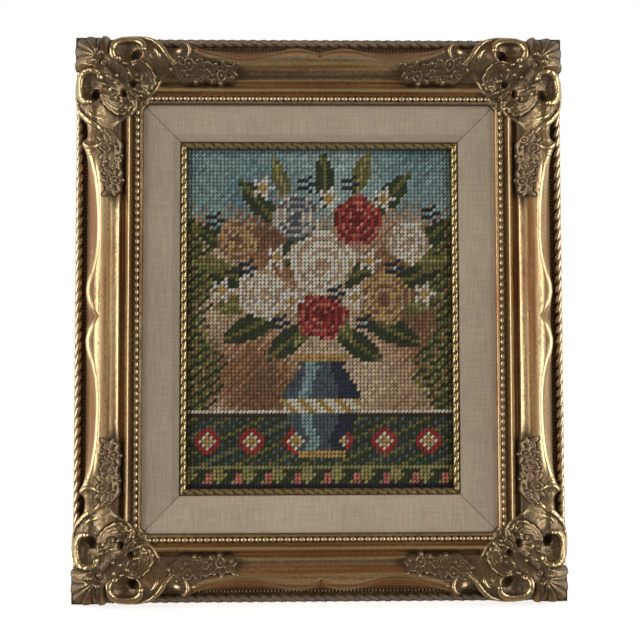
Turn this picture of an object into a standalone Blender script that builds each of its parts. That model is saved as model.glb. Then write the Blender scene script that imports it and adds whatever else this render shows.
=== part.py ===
"""A needlepoint picture in a swept gold frame, with a linen liner and a rope fillet.

Metres, +Z up. The front faces -Y and the wall plane is y = 0. Every piece hangs from one empty
at the picture's centre. The origin is on the flat back of the top rail, where the picture hangs.
"""

import math
from typing import NamedTuple

import bmesh
import bpy
from mathutils import Matrix, Vector

MM = 0.001

# The frame's outside, and the moulding it is cut from.
FRAME_WIDTH = 337.3 * MM
FRAME_HEIGHT = 388.1 * MM
RAIL_WIDTH = 48.0 * MM
REBATE_LAP = 6.35 * MM
REBATE_DEPTH = 13.0 * MM

# The swept ridge: its height, and where its rim lies, from the outer edge.
RIDGE_HEIGHT = 35.6 * MM
RIM_END = 12.8 * MM
RIM_OUT = 15.4 * MM
RIM_IN = 20.6 * MM
RIDGE_START = 79.0 * MM
RIDGE_STEP = 2.0 * MM
LOBE_REACH = 19.0 * MM
HOLLOW_PLACE = 0.48

# The plain moulding under the corner ornaments.
CORNER_RIM = 17.0 * MM
CORNER_HEIGHT = 28.6 * MM
CORNER_REACH = 100.0 * MM

# The linen liner, the rope fillet and the cloth behind them.
LINER_SHOWS = 24.6 * MM
LINER_LAP = 6.5 * MM
LINER_BACK = 4.5 * MM
LINER_BEVEL = 4.5 * MM
LINER_EDGE = 1.4 * MM
FILLET_SHOWS = 4.7 * MM
FILLET_FLANGE = 1.5 * MM
ROPE_STEPS = 6
CLOTH_THICKNESS = 2.4 * MM

# The clearance between pieces, and how far each mitred end is cut back for it.
GAP = 0.3 * MM
MITRE_CUT = GAP / math.sqrt(2)
SPRAY_LIFT = 0.5 * MM

# How near the loose points of a curve's caps lie to the points that they are welded to.
WELD = 0.02 * MM


class Knot(NamedTuple):
    """A point of an ornament, in mm from the outer corner, and the stroke's radius there."""

    along: float
    inward: float
    height: float
    radius: float


class Lump(NamedTuple):
    """An ellipsoid in mm from the outer corner: its middle, and its three half sizes."""

    along: float
    inward: float
    height: float
    half_along: float
    half_inward: float
    half_height: float


# Distance from the outer edge and height above the wall, in mm, outside the ridge and inside it.
ROPE_SIDE = ((0.4, 0.0), (0.4, 7.2), (1.2, 9.8), (2.5, 10.9), (3.9, 9.8), (4.8, 7.4), (8.8, 7.4))
SIGHT_SIDE = (
    (32.4, 18.4),
    (33.2, 13.6),
    (36.3, 13.6),
    (37.0, 17.0),
    (38.8, 19.0),
    (40.6, 17.0),
    (41.4, 14.0),
    (43.2, 14.0),
    (43.6, 16.0),
    (45.1, 17.2),
    (46.7, 16.2),
    (48.0, 15.4),
)

# The underside of a corner ornament bridges the rope and the grooves instead.
SEAT_ROPE_SIDE = ((0.4, 0.0), (0.4, 8.8), (2.5, 10.9), (8.8, 9.6))
SEAT_SIGHT_SIDE = ((32.4, 18.4), (38.8, 19.0), (45.1, 17.2), (48.0, 15.4), (48.0, 0.0))

# The body of a corner ornament, as a section in mm like those above.
SWELL = (
    (0.6, 4.0),
    (0.6, 10.0),
    (4.0, 23.0),
    (9.0, 30.2),
    (18.0, 32.6),
    (33.0, 21.4),
    (40.0, 21.0),
    (47.6, 17.2),
    (47.6, 4.0),
)

# Half of the corner ornament's outline, along and inward in mm, from the outer corner's diagonal.
OUTLINE = (
    (0.6, 0.6),
    (23.0, 0.6),
    (26.4, 5.0),
    (27.8, 15.5),
    (29.4, 7.5),
    (36.0, 2.4),
    (46.0, 1.8),
    (57.0, 4.0),
    (64.0, 10.0),
    (69.4, 17.0),
    (71.6, 22.6),
    (69.0, 24.6),
    (62.4, 23.6),
    (60.6, 33.0),
    (57.0, 40.0),
    (51.0, 43.0),
    (52.0, 47.4),
)

# The strokes of the corner ornament: the rim of its scroll, that rim's inner end, and its leaf.
SCROLL = (
    Knot(34.0, 22.0, 31.5, 1.9),
    Knot(30.6, 18.4, 33.4, 2.2),
    Knot(31.6, 12.4, 32.6, 2.4),
    Knot(36.4, 8.8, 31.2, 2.5),
    Knot(45.0, 8.0, 30.8, 2.6),
    Knot(53.0, 9.2, 31.6, 2.5),
    Knot(59.5, 12.2, 33.0, 2.4),
    Knot(65.0, 16.6, 33.0, 2.1),
    Knot(69.8, 22.0, 29.8, 1.6),
)
SCROLL_END = (
    Knot(54.0, 10.4, 32.4, 1.8),
    Knot(56.4, 14.4, 33.2, 2.0),
    Knot(52.6, 16.8, 33.2, 1.8),
)
FAN = (
    (Knot(38.0, 26.0, 30.0, 2.0), Knot(48.0, 24.0, 30.4, 2.5), Knot(56.6, 26.2, 27.6, 2.1)),
    (Knot(38.0, 29.0, 28.0, 2.0), Knot(49.0, 30.4, 25.0, 2.5), Knot(58.2, 33.0, 21.4, 2.1)),
    (Knot(38.0, 32.0, 25.6, 2.0), Knot(47.0, 36.4, 21.8, 2.5), Knot(54.0, 39.4, 21.0, 2.1)),
)
DISH = Lump(46.4, 18.4, 35.4, 11.0, 7.0, 5.6)
BOSS = Lump(20.0, 20.0, 33.6, 3.4, 3.4, 3.0)
CARTOUCHE = Lump(31.0, 31.0, 24.0, 6.4, 6.4, 7.4)
SIGHT_LEAVES = (
    Lump(41.0, 41.0, 20.0, 4.4, 4.4, 4.0),
    Lump(45.8, 45.8, 17.6, 2.8, 2.8, 3.0),
)
FLUTE_ANGLES = (4.0, 24.5, 45.0, 65.5, 86.0)
FLUTE_REACH = 17.0

# The rolls across a ridge's end.
ROLLS = (
    Lump(80.4, 18.0, 31.8, 2.3, 4.8, 3.6),
    Lump(84.4, 17.4, 32.6, 2.2, 4.6, 3.6),
)

# A spray of flowers in the cove, beside the corner ornament.
SPRAY_STEM = (
    Knot(73.0, 27.6, 23.4, 1.2),
    Knot(80.0, 28.8, 23.0, 1.6),
    Knot(94.0, 29.4, 22.6, 1.6),
    Knot(103.0, 28.8, 23.0, 1.4),
    Knot(110.0, 26.6, 25.4, 1.0),
)
SPRAY_FLOWERS = (
    Lump(79.6, 27.2, 25.2, 4.0, 3.8, 3.0),
    Lump(98.6, 29.6, 22.6, 3.6, 3.2, 2.8),
)
SPRAY_LEAVES = (
    Lump(75.8, 29.8, 21.4, 2.8, 2.8, 2.2),
    Lump(88.4, 28.8, 23.8, 3.4, 2.7, 2.2),
    Lump(105.4, 28.0, 24.4, 2.7, 2.3, 2.0),
)


class Finish(NamedTuple):
    """A plain colour with its roughness and metallic value."""

    colour: tuple
    roughness: float
    metallic: float


GILT = Finish((0.42, 0.27, 0.10), 0.42, 0.85)
DARK_GILT = Finish((0.34, 0.22, 0.09), 0.45, 0.85)
BRIGHT_GILT = Finish((0.55, 0.40, 0.14), 0.35, 0.9)
LINEN = Finish((0.49, 0.43, 0.34), 0.9, 0.0)
WOOL = Finish((0.26, 0.36, 0.38), 0.95, 0.0)


def clear_scene():
    """Removes whatever the scene holds."""
    for item in list(bpy.data.objects):
        bpy.data.objects.remove(item, do_unlink=True)


def new_collection(name, shown=True):
    """A collection in the scene, left out of renders when it holds helpers."""
    made = bpy.data.collections.new(name)
    bpy.context.scene.collection.children.link(made)
    made.hide_render = not shown
    return made


def new_material(name, finish):
    """A plain Principled material."""
    made = bpy.data.materials.new(name)
    made.use_nodes = True
    shader = made.node_tree.nodes["Principled BSDF"]
    shader.inputs["Base Color"].default_value = (*finish.colour, 1.0)
    shader.inputs["Roughness"].default_value = finish.roughness
    shader.inputs["Metallic"].default_value = finish.metallic
    return made


def place(u, v, h):
    """A point given along, inward and in height from the outer corner, in metres."""
    return Vector((u, -h, -v))


def mesh_of(name, points, faces):
    """A mesh with its faces turned out."""
    mesh = bpy.data.meshes.new(name)
    mesh.from_pydata(points, [], faces)
    work = bmesh.new()
    work.from_mesh(mesh)
    bmesh.ops.recalc_face_normals(work, faces=work.faces)
    work.to_mesh(mesh)
    work.free()
    return mesh


def loft(name, rings):
    """A closed skin through rings of equal count, with a cap on each end."""
    count = len(rings[0])
    points = [point for ring in rings for point in ring]
    faces = []
    for ring in range(len(rings) - 1):
        for i in range(count):
            j = (i + 1) % count
            first, second = ring * count, (ring + 1) * count
            faces.append((first + i, first + j, second + j, second + i))
    faces.append(tuple(range(count)))
    faces.append(tuple(len(points) - 1 - i for i in range(count)))
    return mesh_of(name, points, faces)


def grown(section, distance):
    """A closed section moved outward along its normals by a distance."""
    count = len(section)
    moved = []
    for i, here in enumerate(section):
        before = (Vector(here) - Vector(section[i - 1])).normalized()
        after = (Vector(section[(i + 1) % count]) - Vector(here)).normalized()
        normal = Vector((-before.y, before.x)) + Vector((-after.y, after.x))
        normal.normalize()
        spread = max(0.5, normal.dot(Vector((-after.y, after.x))))
        moved.append(tuple(Vector(here) + normal * (distance / spread)))
    return moved


def in_metres(rows):
    """A table in mm, in metres."""
    return [tuple(value * MM for value in row) for row in rows]


def smooth_step(value):
    """Eases from 0 to 1."""
    value = min(1.0, max(0.0, value))
    return value * value * (3 - 2 * value)


def rim_inward(middle, ridge_half):
    """How far in the ridge's rim lies, at a distance from the rail's middle."""
    hollow = LOBE_REACH + (ridge_half - LOBE_REACH) * HOLLOW_PLACE
    if middle < LOBE_REACH:
        return RIM_IN + (RIM_OUT - RIM_IN) * math.sin(math.pi / 2 * middle / LOBE_REACH)
    if middle < hollow:
        share = smooth_step((middle - LOBE_REACH) / (hollow - LOBE_REACH))
        return RIM_OUT + (RIM_IN - RIM_OUT) * share
    share = smooth_step((middle - hollow) / (ridge_half - hollow))
    return RIM_IN + (RIM_END - RIM_IN) * share


def ridge_points(rim, top):
    """The ridge's section, for a rim at this place and height."""
    foot_t, foot_h = (value * MM for value in ROPE_SIDE[-1])
    cove_t, cove_h = (value * MM for value in SIGHT_SIDE[0])
    crown = (rim + 3.4 * MM, top - 1.0 * MM)
    return [
        (foot_t + (rim - foot_t) * 0.42, foot_h + (top - foot_h) * 0.5),
        (rim - 1.2 * MM, top - 2.4 * MM),
        (rim + 0.7 * MM, top),
        crown,
        (crown[0] + (cove_t - crown[0]) * 0.36, crown[1] + (cove_h - crown[1]) * 0.48),
        (crown[0] + (cove_t - crown[0]) * 0.70, crown[1] + (cove_h - crown[1]) * 0.82),
    ]


def moulding_face(rim, top):
    """The moulding's face from its outer back edge in."""
    return in_metres(ROPE_SIDE) + ridge_points(rim, top) + in_metres(SIGHT_SIDE)


def rail_section(rim, top):
    """The whole section of a rail, with the rebate behind its lip."""
    back = [
        (RAIL_WIDTH, REBATE_DEPTH),
        (RAIL_WIDTH - REBATE_LAP, REBATE_DEPTH),
        (RAIL_WIDTH - REBATE_LAP, 0.0),
    ]
    return moulding_face(rim, top) + back


def spray_seat(rim, top):
    """The moulding grown by the clearance of what is cast to its cove."""
    return grown([*moulding_face(rim, top), (RAIL_WIDTH, 0.0)], SPRAY_LIFT)


def corner_seat():
    """The section under a corner ornament, grown by the clearance."""
    ridge = ridge_points(CORNER_RIM, CORNER_HEIGHT)
    return grown(in_metres(SEAT_ROPE_SIDE) + ridge + in_metres(SEAT_SIGHT_SIDE), GAP)


def rail_stations(length):
    """The places along half a rail, from its middle, each with its rim and its height."""
    ridge_half = length / 2 - RIDGE_START
    hollow = LOBE_REACH + (ridge_half - LOBE_REACH) * HOLLOW_PLACE
    places = [0.0, LOBE_REACH * 0.25, LOBE_REACH * 0.58, LOBE_REACH]
    places += [LOBE_REACH + (hollow - LOBE_REACH) * part for part in (0.3, 0.55, 0.78, 1.0)]
    places += [hollow + (ridge_half - hollow) * part for part in (0.25, 0.5, 0.75, 1.0)]
    rows = [(x, rim_inward(x, ridge_half), RIDGE_HEIGHT) for x in places]
    rows.append((ridge_half + RIDGE_STEP, CORNER_RIM, CORNER_HEIGHT))
    return rows


def rail_mesh(name, length, section):
    """One rail about its outer edge's middle, running along X, from a function for its section."""
    rows = rail_stations(length)
    reach = length / 2 - MITRE_CUT
    end = section(CORNER_RIM, CORNER_HEIGHT)
    rings = [[place(t - reach, t, h) for t, h in end]]
    rings += [[place(-x, t, h) for t, h in section(rim, top)] for x, rim, top in reversed(rows)]
    rings += [[place(x, t, h) for t, h in section(rim, top)] for x, rim, top in rows[1:]]
    rings.append([place(reach - t, t, h) for t, h in end])
    return loft(name, rings)


def strip_mesh(name, length, section):
    """A mitred length of one section, about its outer edge's middle, running along X."""
    reach = length / 2 - MITRE_CUT
    ends = [[place(side * (reach - t), t, h) for t, h in section] for side in (-1, 1)]
    return loft(name, ends)


def angle_mesh(name, section, reach):
    """A section carried round the outer corner, along both arms."""
    rings = [
        [place(reach, t, h) for t, h in section],
        [place(t, t, h) for t, h in section],
        [place(t, reach, h) for t, h in section],
    ]
    return loft(name, rings)


class Bench:
    """Makes helper objects, and joins and cuts them into meshes."""

    def __init__(self):
        self.helpers = new_collection("helpers", shown=False)

    def put(self, name, data):
        """A helper object that the part leaves out."""
        made = bpy.data.objects.new(name, data)
        made.hide_render = True
        made.display_type = "WIRE"
        self.helpers.objects.link(made)
        return made

    def baked(self, item):
        """The evaluated mesh of a helper, with loose caps welded on."""
        bpy.context.view_layer.update()
        graph = bpy.context.evaluated_depsgraph_get()
        mesh = bpy.data.meshes.new_from_object(item.evaluated_get(graph))
        mesh.transform(item.matrix_world)
        work = bmesh.new()
        work.from_mesh(mesh)
        bmesh.ops.remove_doubles(work, verts=work.verts, dist=WELD)
        bmesh.ops.recalc_face_normals(work, faces=work.faces)
        work.to_mesh(mesh)
        work.free()
        return mesh

    def changed(self, mesh, operation, others):
        """A mesh after one Boolean operation with each of the others in turn."""
        base = self.put("base", mesh)
        for i, other in enumerate(others):
            step = base.modifiers.new(f"{operation.lower()} {i}", "BOOLEAN")
            step.operation = operation
            step.solver = "EXACT"
            step.object = self.put(f"tool {i}", other)
        done = self.baked(base)
        for item in list(self.helpers.objects):
            bpy.data.objects.remove(item, do_unlink=True)
        return done

    def stroke(self, name, knots, roundness=1):
        """A tube along the knots, of six sides or, at roundness 0, of four."""
        curve = bpy.data.curves.new(name, "CURVE")
        curve.dimensions = "3D"
        curve.bevel_depth = 1.0
        curve.bevel_resolution = roundness
        curve.use_fill_caps = True
        spline = curve.splines.new("POLY")
        spline.points.add(len(knots) - 1)
        for point, knot in zip(spline.points, knots):
            where = place(knot.along * MM, knot.inward * MM, knot.height * MM)
            point.co = (*where, 1.0)
            point.radius = knot.radius * MM
        item = self.put(name, curve)
        mesh = self.baked(item)
        bpy.data.objects.remove(item, do_unlink=True)
        return mesh

    def lump(self, name, shape, sides=8, rows=5):
        """An ellipsoid."""
        work = bmesh.new()
        bmesh.ops.create_uvsphere(work, u_segments=sides, v_segments=rows, radius=1.0)
        where = place(shape.along * MM, shape.inward * MM, shape.height * MM)
        sizes = (shape.half_along * MM, shape.half_height * MM, shape.half_inward * MM, 1.0)
        turn = Matrix.Rotation(math.pi / 2, 4, "X")
        bmesh.ops.transform(
            work, matrix=Matrix.Translation(where) @ Matrix.Diagonal(sizes) @ turn, verts=work.verts
        )
        mesh = bpy.data.meshes.new(name)
        work.to_mesh(mesh)
        work.free()
        return mesh

    def slab(self, name, outline, depth):
        """A flat outline in mm, made solid from the wall out to a depth."""
        curve = bpy.data.curves.new(name, "CURVE")
        curve.dimensions = "2D"
        curve.fill_mode = "BOTH"
        curve.extrude = depth / 2
        spline = curve.splines.new("POLY")
        spline.points.add(len(outline) - 1)
        spline.use_cyclic_u = True
        for point, (along, inward) in zip(spline.points, outline):
            point.co = (along * MM, -inward * MM, 0.0, 1.0)
        item = self.put(name, curve)
        item.rotation_euler = (math.pi / 2, 0.0, 0.0)
        item.location = (0.0, -depth / 2, 0.0)
        mesh = self.baked(item)
        bpy.data.objects.remove(item, do_unlink=True)
        return mesh


def smoothed(knots, steps):
    """Knots read from a smooth curve through the given ones, several to each span."""
    rows = [Vector(knot) for knot in knots]
    rows = [2 * rows[0] - rows[1], *rows, 2 * rows[-1] - rows[-2]]
    made = []
    for before, start, end, after in zip(rows, rows[1:], rows[2:], rows[3:]):
        for step in range(steps):
            x = step / steps
            made.append(
                0.5
                * (
                    2 * start
                    + (end - before) * x
                    + (2 * before - 5 * start + 4 * end - after) * x * x
                    + (3 * start - before - 3 * end + after) * x * x * x
                )
            )
    made.append(rows[-2])
    return [Knot(*row) for row in made]


def across(shape):
    """The same knot or lump on the corner's other arm."""
    if isinstance(shape, Knot):
        return shape._replace(along=shape.inward, inward=shape.along)
    return shape._replace(
        along=shape.inward,
        inward=shape.along,
        half_along=shape.half_inward,
        half_inward=shape.half_along,
    )


def flute(angle):
    """One fluted ray of the shell, from its boss to the outer edge."""
    ray = Vector((math.cos(math.radians(angle)), math.sin(math.radians(angle))))
    reach = FLUTE_REACH / max(ray)
    rows = ((0.15, 32.6, 1.7), (0.62, 30.6, 2.7), (1.0, 17.6, 2.9))
    return [
        Knot(BOSS.along - ray.x * reach * part, BOSS.inward - ray.y * reach * part, height, radius)
        for part, height, radius in rows
    ]


def corner_mesh(bench):
    """The cast ornament of one corner, the same on both arms."""
    mirrored = [(inward, along) for along, inward in reversed(OUTLINE[1:])]
    body = bench.slab("outline", list(OUTLINE) + mirrored, CORNER_REACH)
    swell = angle_mesh("swell", in_metres(SWELL), CORNER_REACH)
    body = bench.changed(body, "INTERSECT", [swell])
    dishes = [bench.lump("dish", shape, 12, 7) for shape in (DISH, across(DISH))]
    body = bench.changed(body, "DIFFERENCE", dishes)
    strokes = [smoothed(SCROLL, 2), SCROLL_END, *FAN]
    strokes += [[across(knot) for knot in stroke] for stroke in strokes]
    strokes += [flute(angle) for angle in FLUTE_ANGLES]
    raised = [bench.stroke("stroke", stroke) for stroke in strokes]
    raised += [bench.lump("lump", shape) for shape in (BOSS, CARTOUCHE, *SIGHT_LEAVES)]
    body = bench.changed(body, "UNION", raised)
    return bench.changed(body, "DIFFERENCE", [angle_mesh("seat", corner_seat(), CORNER_REACH)])


def spray_mesh(bench, length):
    """A spray seated in the cove of a rail of this length, placed from that rail's left corner."""
    stem = bench.stroke("stem", SPRAY_STEM, 0)
    lumps = [bench.lump("flower", shape, 7, 4) for shape in SPRAY_FLOWERS]
    lumps += [bench.lump("leaf", shape, 6, 4) for shape in SPRAY_LEAVES]
    body = bench.changed(stem, "UNION", lumps)
    seat = rail_mesh("seat", length, spray_seat)
    seat.transform(Matrix.Translation((length / 2, 0.0, 0.0)))
    body = bench.changed(body, "DIFFERENCE", [seat])
    body.transform(Matrix.Translation((-length / 2, 0.0, 0.0)))
    return body


def rolled_rail_mesh(bench, length):
    """A rail with the rolls that end its ridge on each side."""
    plain = bench.put("rail", rail_mesh("rail", length, rail_section))
    thin = plain.modifiers.new("plain faces", "DECIMATE")
    thin.decimate_type = "DISSOLVE"
    thin.angle_limit = math.radians(0.05)
    rail = bench.baked(plain)
    bpy.data.objects.remove(plain, do_unlink=True)
    near = [bench.lump("roll", shape) for shape in ROLLS]
    for roll in near:
        roll.transform(Matrix.Translation((-length / 2, 0.0, 0.0)))
    return bench.changed(rail, "UNION", near + [mirrored_mesh(roll) for roll in near])


def mirrored_mesh(mesh):
    """A mesh turned over left to right."""
    made = mesh.copy()
    made.transform(Matrix.Scale(-1.0, 4, (1.0, 0.0, 0.0)))
    made.flip_normals()
    return made


class Frame:
    """Puts finished meshes on the four sides and at the four corners of the picture."""

    TURNS = {"top": 0.0, "right": math.pi / 2, "bottom": math.pi, "left": -math.pi / 2}

    def __init__(self):
        self.collection = new_collection("framed needlepoint picture")
        self.centre = bpy.data.objects.new("picture centre", None)
        self.centre.location = (0.0, 0.0, (RAIL_WIDTH - REBATE_LAP) / 2 - FRAME_HEIGHT / 2)
        self.collection.objects.link(self.centre)

    def add(self, name, mesh, material, where=(0.0, 0.0, 0.0), turn=0.0, smooth=None):
        """A finished piece, placed from the picture's centre."""
        made = bpy.data.objects.new(name, mesh)
        made.parent = self.centre
        made.location = where
        made.rotation_euler = (0.0, turn, 0.0)
        if not mesh.materials:
            mesh.materials.append(material)
        if smooth:
            mesh.shade_smooth()
            mesh.set_sharp_from_angle(angle=math.radians(smooth))
        self.collection.objects.link(made)
        return made

    def side(self, kind, which, mesh, material, width, height, smooth=None, label=""):
        """A piece that runs along one side of a rectangle of this size."""
        spots = {
            "top": (0.0, 0.0, height / 2),
            "bottom": (0.0, 0.0, -height / 2),
            "left": (-width / 2, 0.0, 0.0),
            "right": (width / 2, 0.0, 0.0),
        }
        name = f"{kind}_{which}{label}"
        self.add(name, mesh, material, spots[which], self.TURNS[which], smooth)

    def four_sides(self, kind, short, long, material, width, height, smooth=None):
        """The four mitred lengths round a rectangle of this size."""
        for which, mesh in (("top", short), ("bottom", short), ("left", long), ("right", long)):
            self.side(kind, which, mesh, material, width, height, smooth)


def add_rails(frame, bench):
    """The four rails of the moulding."""
    gilt = new_material("gilt rail", GILT)
    short = rolled_rail_mesh(bench, FRAME_WIDTH)
    long = rolled_rail_mesh(bench, FRAME_HEIGHT)
    frame.four_sides("rail", short, long, gilt, FRAME_WIDTH, FRAME_HEIGHT, 35)


def add_corners(frame, bench):
    """The four corner ornaments, one mesh turned a quarter at a time."""
    gilt = new_material("gilt corner", DARK_GILT)
    mesh = corner_mesh(bench)
    corners = (("top_left", -1, 1), ("top_right", 1, 1), ("bottom_right", 1, -1), ("bottom_left", -1, -1))
    for quarter, (label, side, level) in enumerate(corners):
        where = (side * FRAME_WIDTH / 2, 0.0, level * FRAME_HEIGHT / 2)
        frame.add(f"corner_{label}", mesh, gilt, where, quarter * math.pi / 2, 40)


def add_sprays(frame, bench):
    """Two flower sprays to a rail, mirror images of each other."""
    gilt = new_material("gilt spray", DARK_GILT)
    ends = {
        "top": ("_left", "_right"),
        "right": ("_upper", "_lower"),
        "bottom": ("_right", "_left"),
        "left": ("_lower", "_upper"),
    }
    for sides, length in ((("top", "bottom"), FRAME_WIDTH), (("left", "right"), FRAME_HEIGHT)):
        near = spray_mesh(bench, length)
        far = mirrored_mesh(near)
        for which in sides:
            for mesh, label in zip((near, far), ends[which]):
                frame.side("spray", which, mesh, gilt, FRAME_WIDTH, FRAME_HEIGHT, 50, label)


def add_liner(frame):
    """The four linen-wrapped liner sides, in the frame's rebate."""
    linen = new_material("linen", LINEN)
    width = FRAME_WIDTH - 2 * (RAIL_WIDTH - REBATE_LAP + GAP)
    height = FRAME_HEIGHT - 2 * (RAIL_WIDTH - REBATE_LAP + GAP)
    front = REBATE_DEPTH - GAP
    inner = REBATE_LAP - GAP + LINER_SHOWS
    ceiling = LINER_BACK + CLOTH_THICKNESS + GAP + FILLET_FLANGE + GAP
    section = [
        (0.0, LINER_BACK),
        (0.0, front),
        (inner - LINER_BEVEL, front),
        (inner, ceiling + LINER_EDGE),
        (inner, ceiling),
        (inner - LINER_LAP, ceiling),
        (inner - LINER_LAP, LINER_BACK),
    ]
    short = strip_mesh("liner short", width, section)
    long = strip_mesh("liner long", height, section)
    frame.four_sides("liner", short, long, linen, width, height)


def add_fillet(frame):
    """The four lengths of rope fillet: a flange behind the liner, and the rope beside it."""
    gold = new_material("fillet gold", BRIGHT_GILT)
    reach = RAIL_WIDTH + LINER_SHOWS - LINER_LAP + GAP
    width = FRAME_WIDTH - 2 * reach
    height = FRAME_HEIGHT - 2 * reach
    floor = LINER_BACK + CLOTH_THICKNESS + GAP
    radius = FILLET_SHOWS / 2
    middle = LINER_LAP + radius
    axis = floor + FILLET_FLANGE + GAP
    arc = []
    for step in range(ROPE_STEPS + 1):
        angle = math.pi * (1 - step / ROPE_STEPS)
        arc.append((middle + (radius - GAP / 2) * math.cos(angle), axis + radius * math.sin(angle)))
    section = [
        (0.0, floor),
        (0.0, floor + FILLET_FLANGE),
        (arc[0][0], floor + FILLET_FLANGE),
        *arc,
        (arc[-1][0], floor),
    ]
    short = strip_mesh("fillet short", width, section)
    long = strip_mesh("fillet long", height, section)
    frame.four_sides("fillet", short, long, gold, width, height, 40)


def add_needlepoint(frame):
    """The stitched cloth, flat in the liner's own rebate."""
    wool = new_material("wool", WOOL)
    reach = RAIL_WIDTH + LINER_SHOWS - LINER_LAP + GAP
    size = Vector((FRAME_WIDTH - 2 * reach, CLOTH_THICKNESS, FRAME_HEIGHT - 2 * reach))
    bpy.ops.mesh.primitive_cube_add(size=1.0)
    cube = bpy.context.active_object
    mesh = cube.data
    mesh.name = "needlepoint"
    mesh.transform(Matrix.Diagonal((*size, 1.0)))
    bpy.data.objects.remove(cube, do_unlink=True)
    frame.add("needlepoint", mesh, wool, (0.0, -(LINER_BACK + CLOTH_THICKNESS / 2), 0.0))


def main():
    clear_scene()
    frame = Frame()
    bench = Bench()
    add_rails(frame, bench)
    add_corners(frame, bench)
    add_sprays(frame, bench)
    add_liner(frame)
    add_fillet(frame)
    add_needlepoint(frame)
    bpy.data.collections.remove(bench.helpers)


main()
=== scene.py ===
"""Looks of a needlepoint picture in a swept gold frame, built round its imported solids.

Metres, +Z up. The front faces -Y and the wall plane is y = 0. Shapes are worked out in mm in a
side's or a corner's own place: along it, inward from the outer edge, and in height above the wall.
"""

from __future__ import annotations

import logging
import math
from dataclasses import dataclass, field
from enum import Enum
from typing import ClassVar, Iterable, Mapping, Sequence, Union

import bmesh
import bpy
import numpy as np
from mathutils import Matrix, Vector


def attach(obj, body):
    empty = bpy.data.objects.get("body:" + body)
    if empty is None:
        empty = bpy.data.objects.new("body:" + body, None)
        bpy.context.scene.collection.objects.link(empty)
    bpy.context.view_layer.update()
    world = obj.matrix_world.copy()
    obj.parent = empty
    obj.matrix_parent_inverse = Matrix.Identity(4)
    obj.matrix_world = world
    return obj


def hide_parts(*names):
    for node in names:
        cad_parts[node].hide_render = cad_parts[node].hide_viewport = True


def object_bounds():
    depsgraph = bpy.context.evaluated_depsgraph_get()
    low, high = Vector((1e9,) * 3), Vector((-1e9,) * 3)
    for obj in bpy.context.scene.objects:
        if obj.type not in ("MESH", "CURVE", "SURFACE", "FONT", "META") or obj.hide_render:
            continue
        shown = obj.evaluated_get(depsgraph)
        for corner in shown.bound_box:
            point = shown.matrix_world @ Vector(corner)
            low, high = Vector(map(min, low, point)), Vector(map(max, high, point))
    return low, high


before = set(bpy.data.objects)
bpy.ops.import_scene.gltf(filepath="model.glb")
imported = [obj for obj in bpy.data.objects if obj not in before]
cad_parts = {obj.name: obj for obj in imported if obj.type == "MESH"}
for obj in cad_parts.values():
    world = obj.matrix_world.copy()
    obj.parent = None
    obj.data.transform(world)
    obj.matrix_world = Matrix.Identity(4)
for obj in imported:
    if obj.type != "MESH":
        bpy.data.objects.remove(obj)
CAD_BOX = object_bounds()

LOG = logging.getLogger("picture")

MM = 0.001

# The frame's nominal size, its rails and their rebate, in mm.
FRAME_WIDTH = 337.3
FRAME_HEIGHT = 388.1
RAIL_WIDTH = 48.0
REBATE_LAP = 6.35
CENTRE_Z = (RAIL_WIDTH - REBATE_LAP) / 2 - FRAME_HEIGHT / 2

# Where the cove ends and the sight side starts, in mm from the outer edge.
SIGHT_START = 32.4

# The height that stands for no work at a point.
ABSENT = -99.0

SEED = 12

# Petals to a flower, in the needlepoint and on the sprays.
PETALS = 5

Colour = tuple[float, float, float]
Rows = Sequence[Sequence[float]]
Numbers = Union[np.ndarray, float]


class Side(Enum):
    """A side of the frame, by the quarter turns that bring the top side to it."""

    TOP = 0
    RIGHT = 1
    BOTTOM = 2
    LEFT = 3

    @property
    def label(self) -> str:
        """The side's name as the solids have it."""
        return self.name.lower()

    @property
    def short(self) -> bool:
        """Whether it is the top or the bottom."""
        return self.value % 2 == 0

    @property
    def length(self) -> float:
        """The side's outer length in mm."""
        return FRAME_WIDTH if self.short else FRAME_HEIGHT


BySide = Mapping[Side, float]


def by_side(top: float, right: float, bottom: float, left: float) -> BySide:
    """A number for each side of the frame."""
    return dict(zip(Side, (top, right, bottom, left)))


class Corner(Enum):
    """A corner of the frame, by the quarter turns that bring the top left one to it."""

    TOP_LEFT = 0
    TOP_RIGHT = 1
    BOTTOM_RIGHT = 2
    BOTTOM_LEFT = 3

    @property
    def label(self) -> str:
        """The corner's name as the solids have it."""
        return self.name.lower()


class Half(Enum):
    """Which half of a side something is on, seen from the side's own middle."""

    START = -1
    END = 1


SPRAY_LABELS = {
    (Side.TOP, Half.START): "top_left",
    (Side.TOP, Half.END): "top_right",
    (Side.RIGHT, Half.START): "right_upper",
    (Side.RIGHT, Half.END): "right_lower",
    (Side.BOTTOM, Half.START): "bottom_right",
    (Side.BOTTOM, Half.END): "bottom_left",
    (Side.LEFT, Half.START): "left_lower",
    (Side.LEFT, Half.END): "left_upper",
}


# Places.


def turned(points: np.ndarray, quarters: int, where: tuple[float, float]) -> np.ndarray:
    """Puts a side's or a corner's own points on the frame.

    Args:
        points: Columns along, inward and height, in mm.
        quarters: Quarter turns about the viewing direction, clockwise from the front.
        where: The place of the points' own zero from the picture's centre, across and up, in mm.

    Returns:
        The points in the frame's own place, in metres.
    """
    along, inward, height = points[:, 0], points[:, 1], points[:, 2]
    cos, sin = ((1, 0), (0, 1), (-1, 0), (0, -1))[quarters]
    across = along * cos - inward * sin + where[0]
    up = -along * sin - inward * cos + where[1] + CENTRE_Z
    return np.stack([across, -height, up], axis=1) * MM


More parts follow.
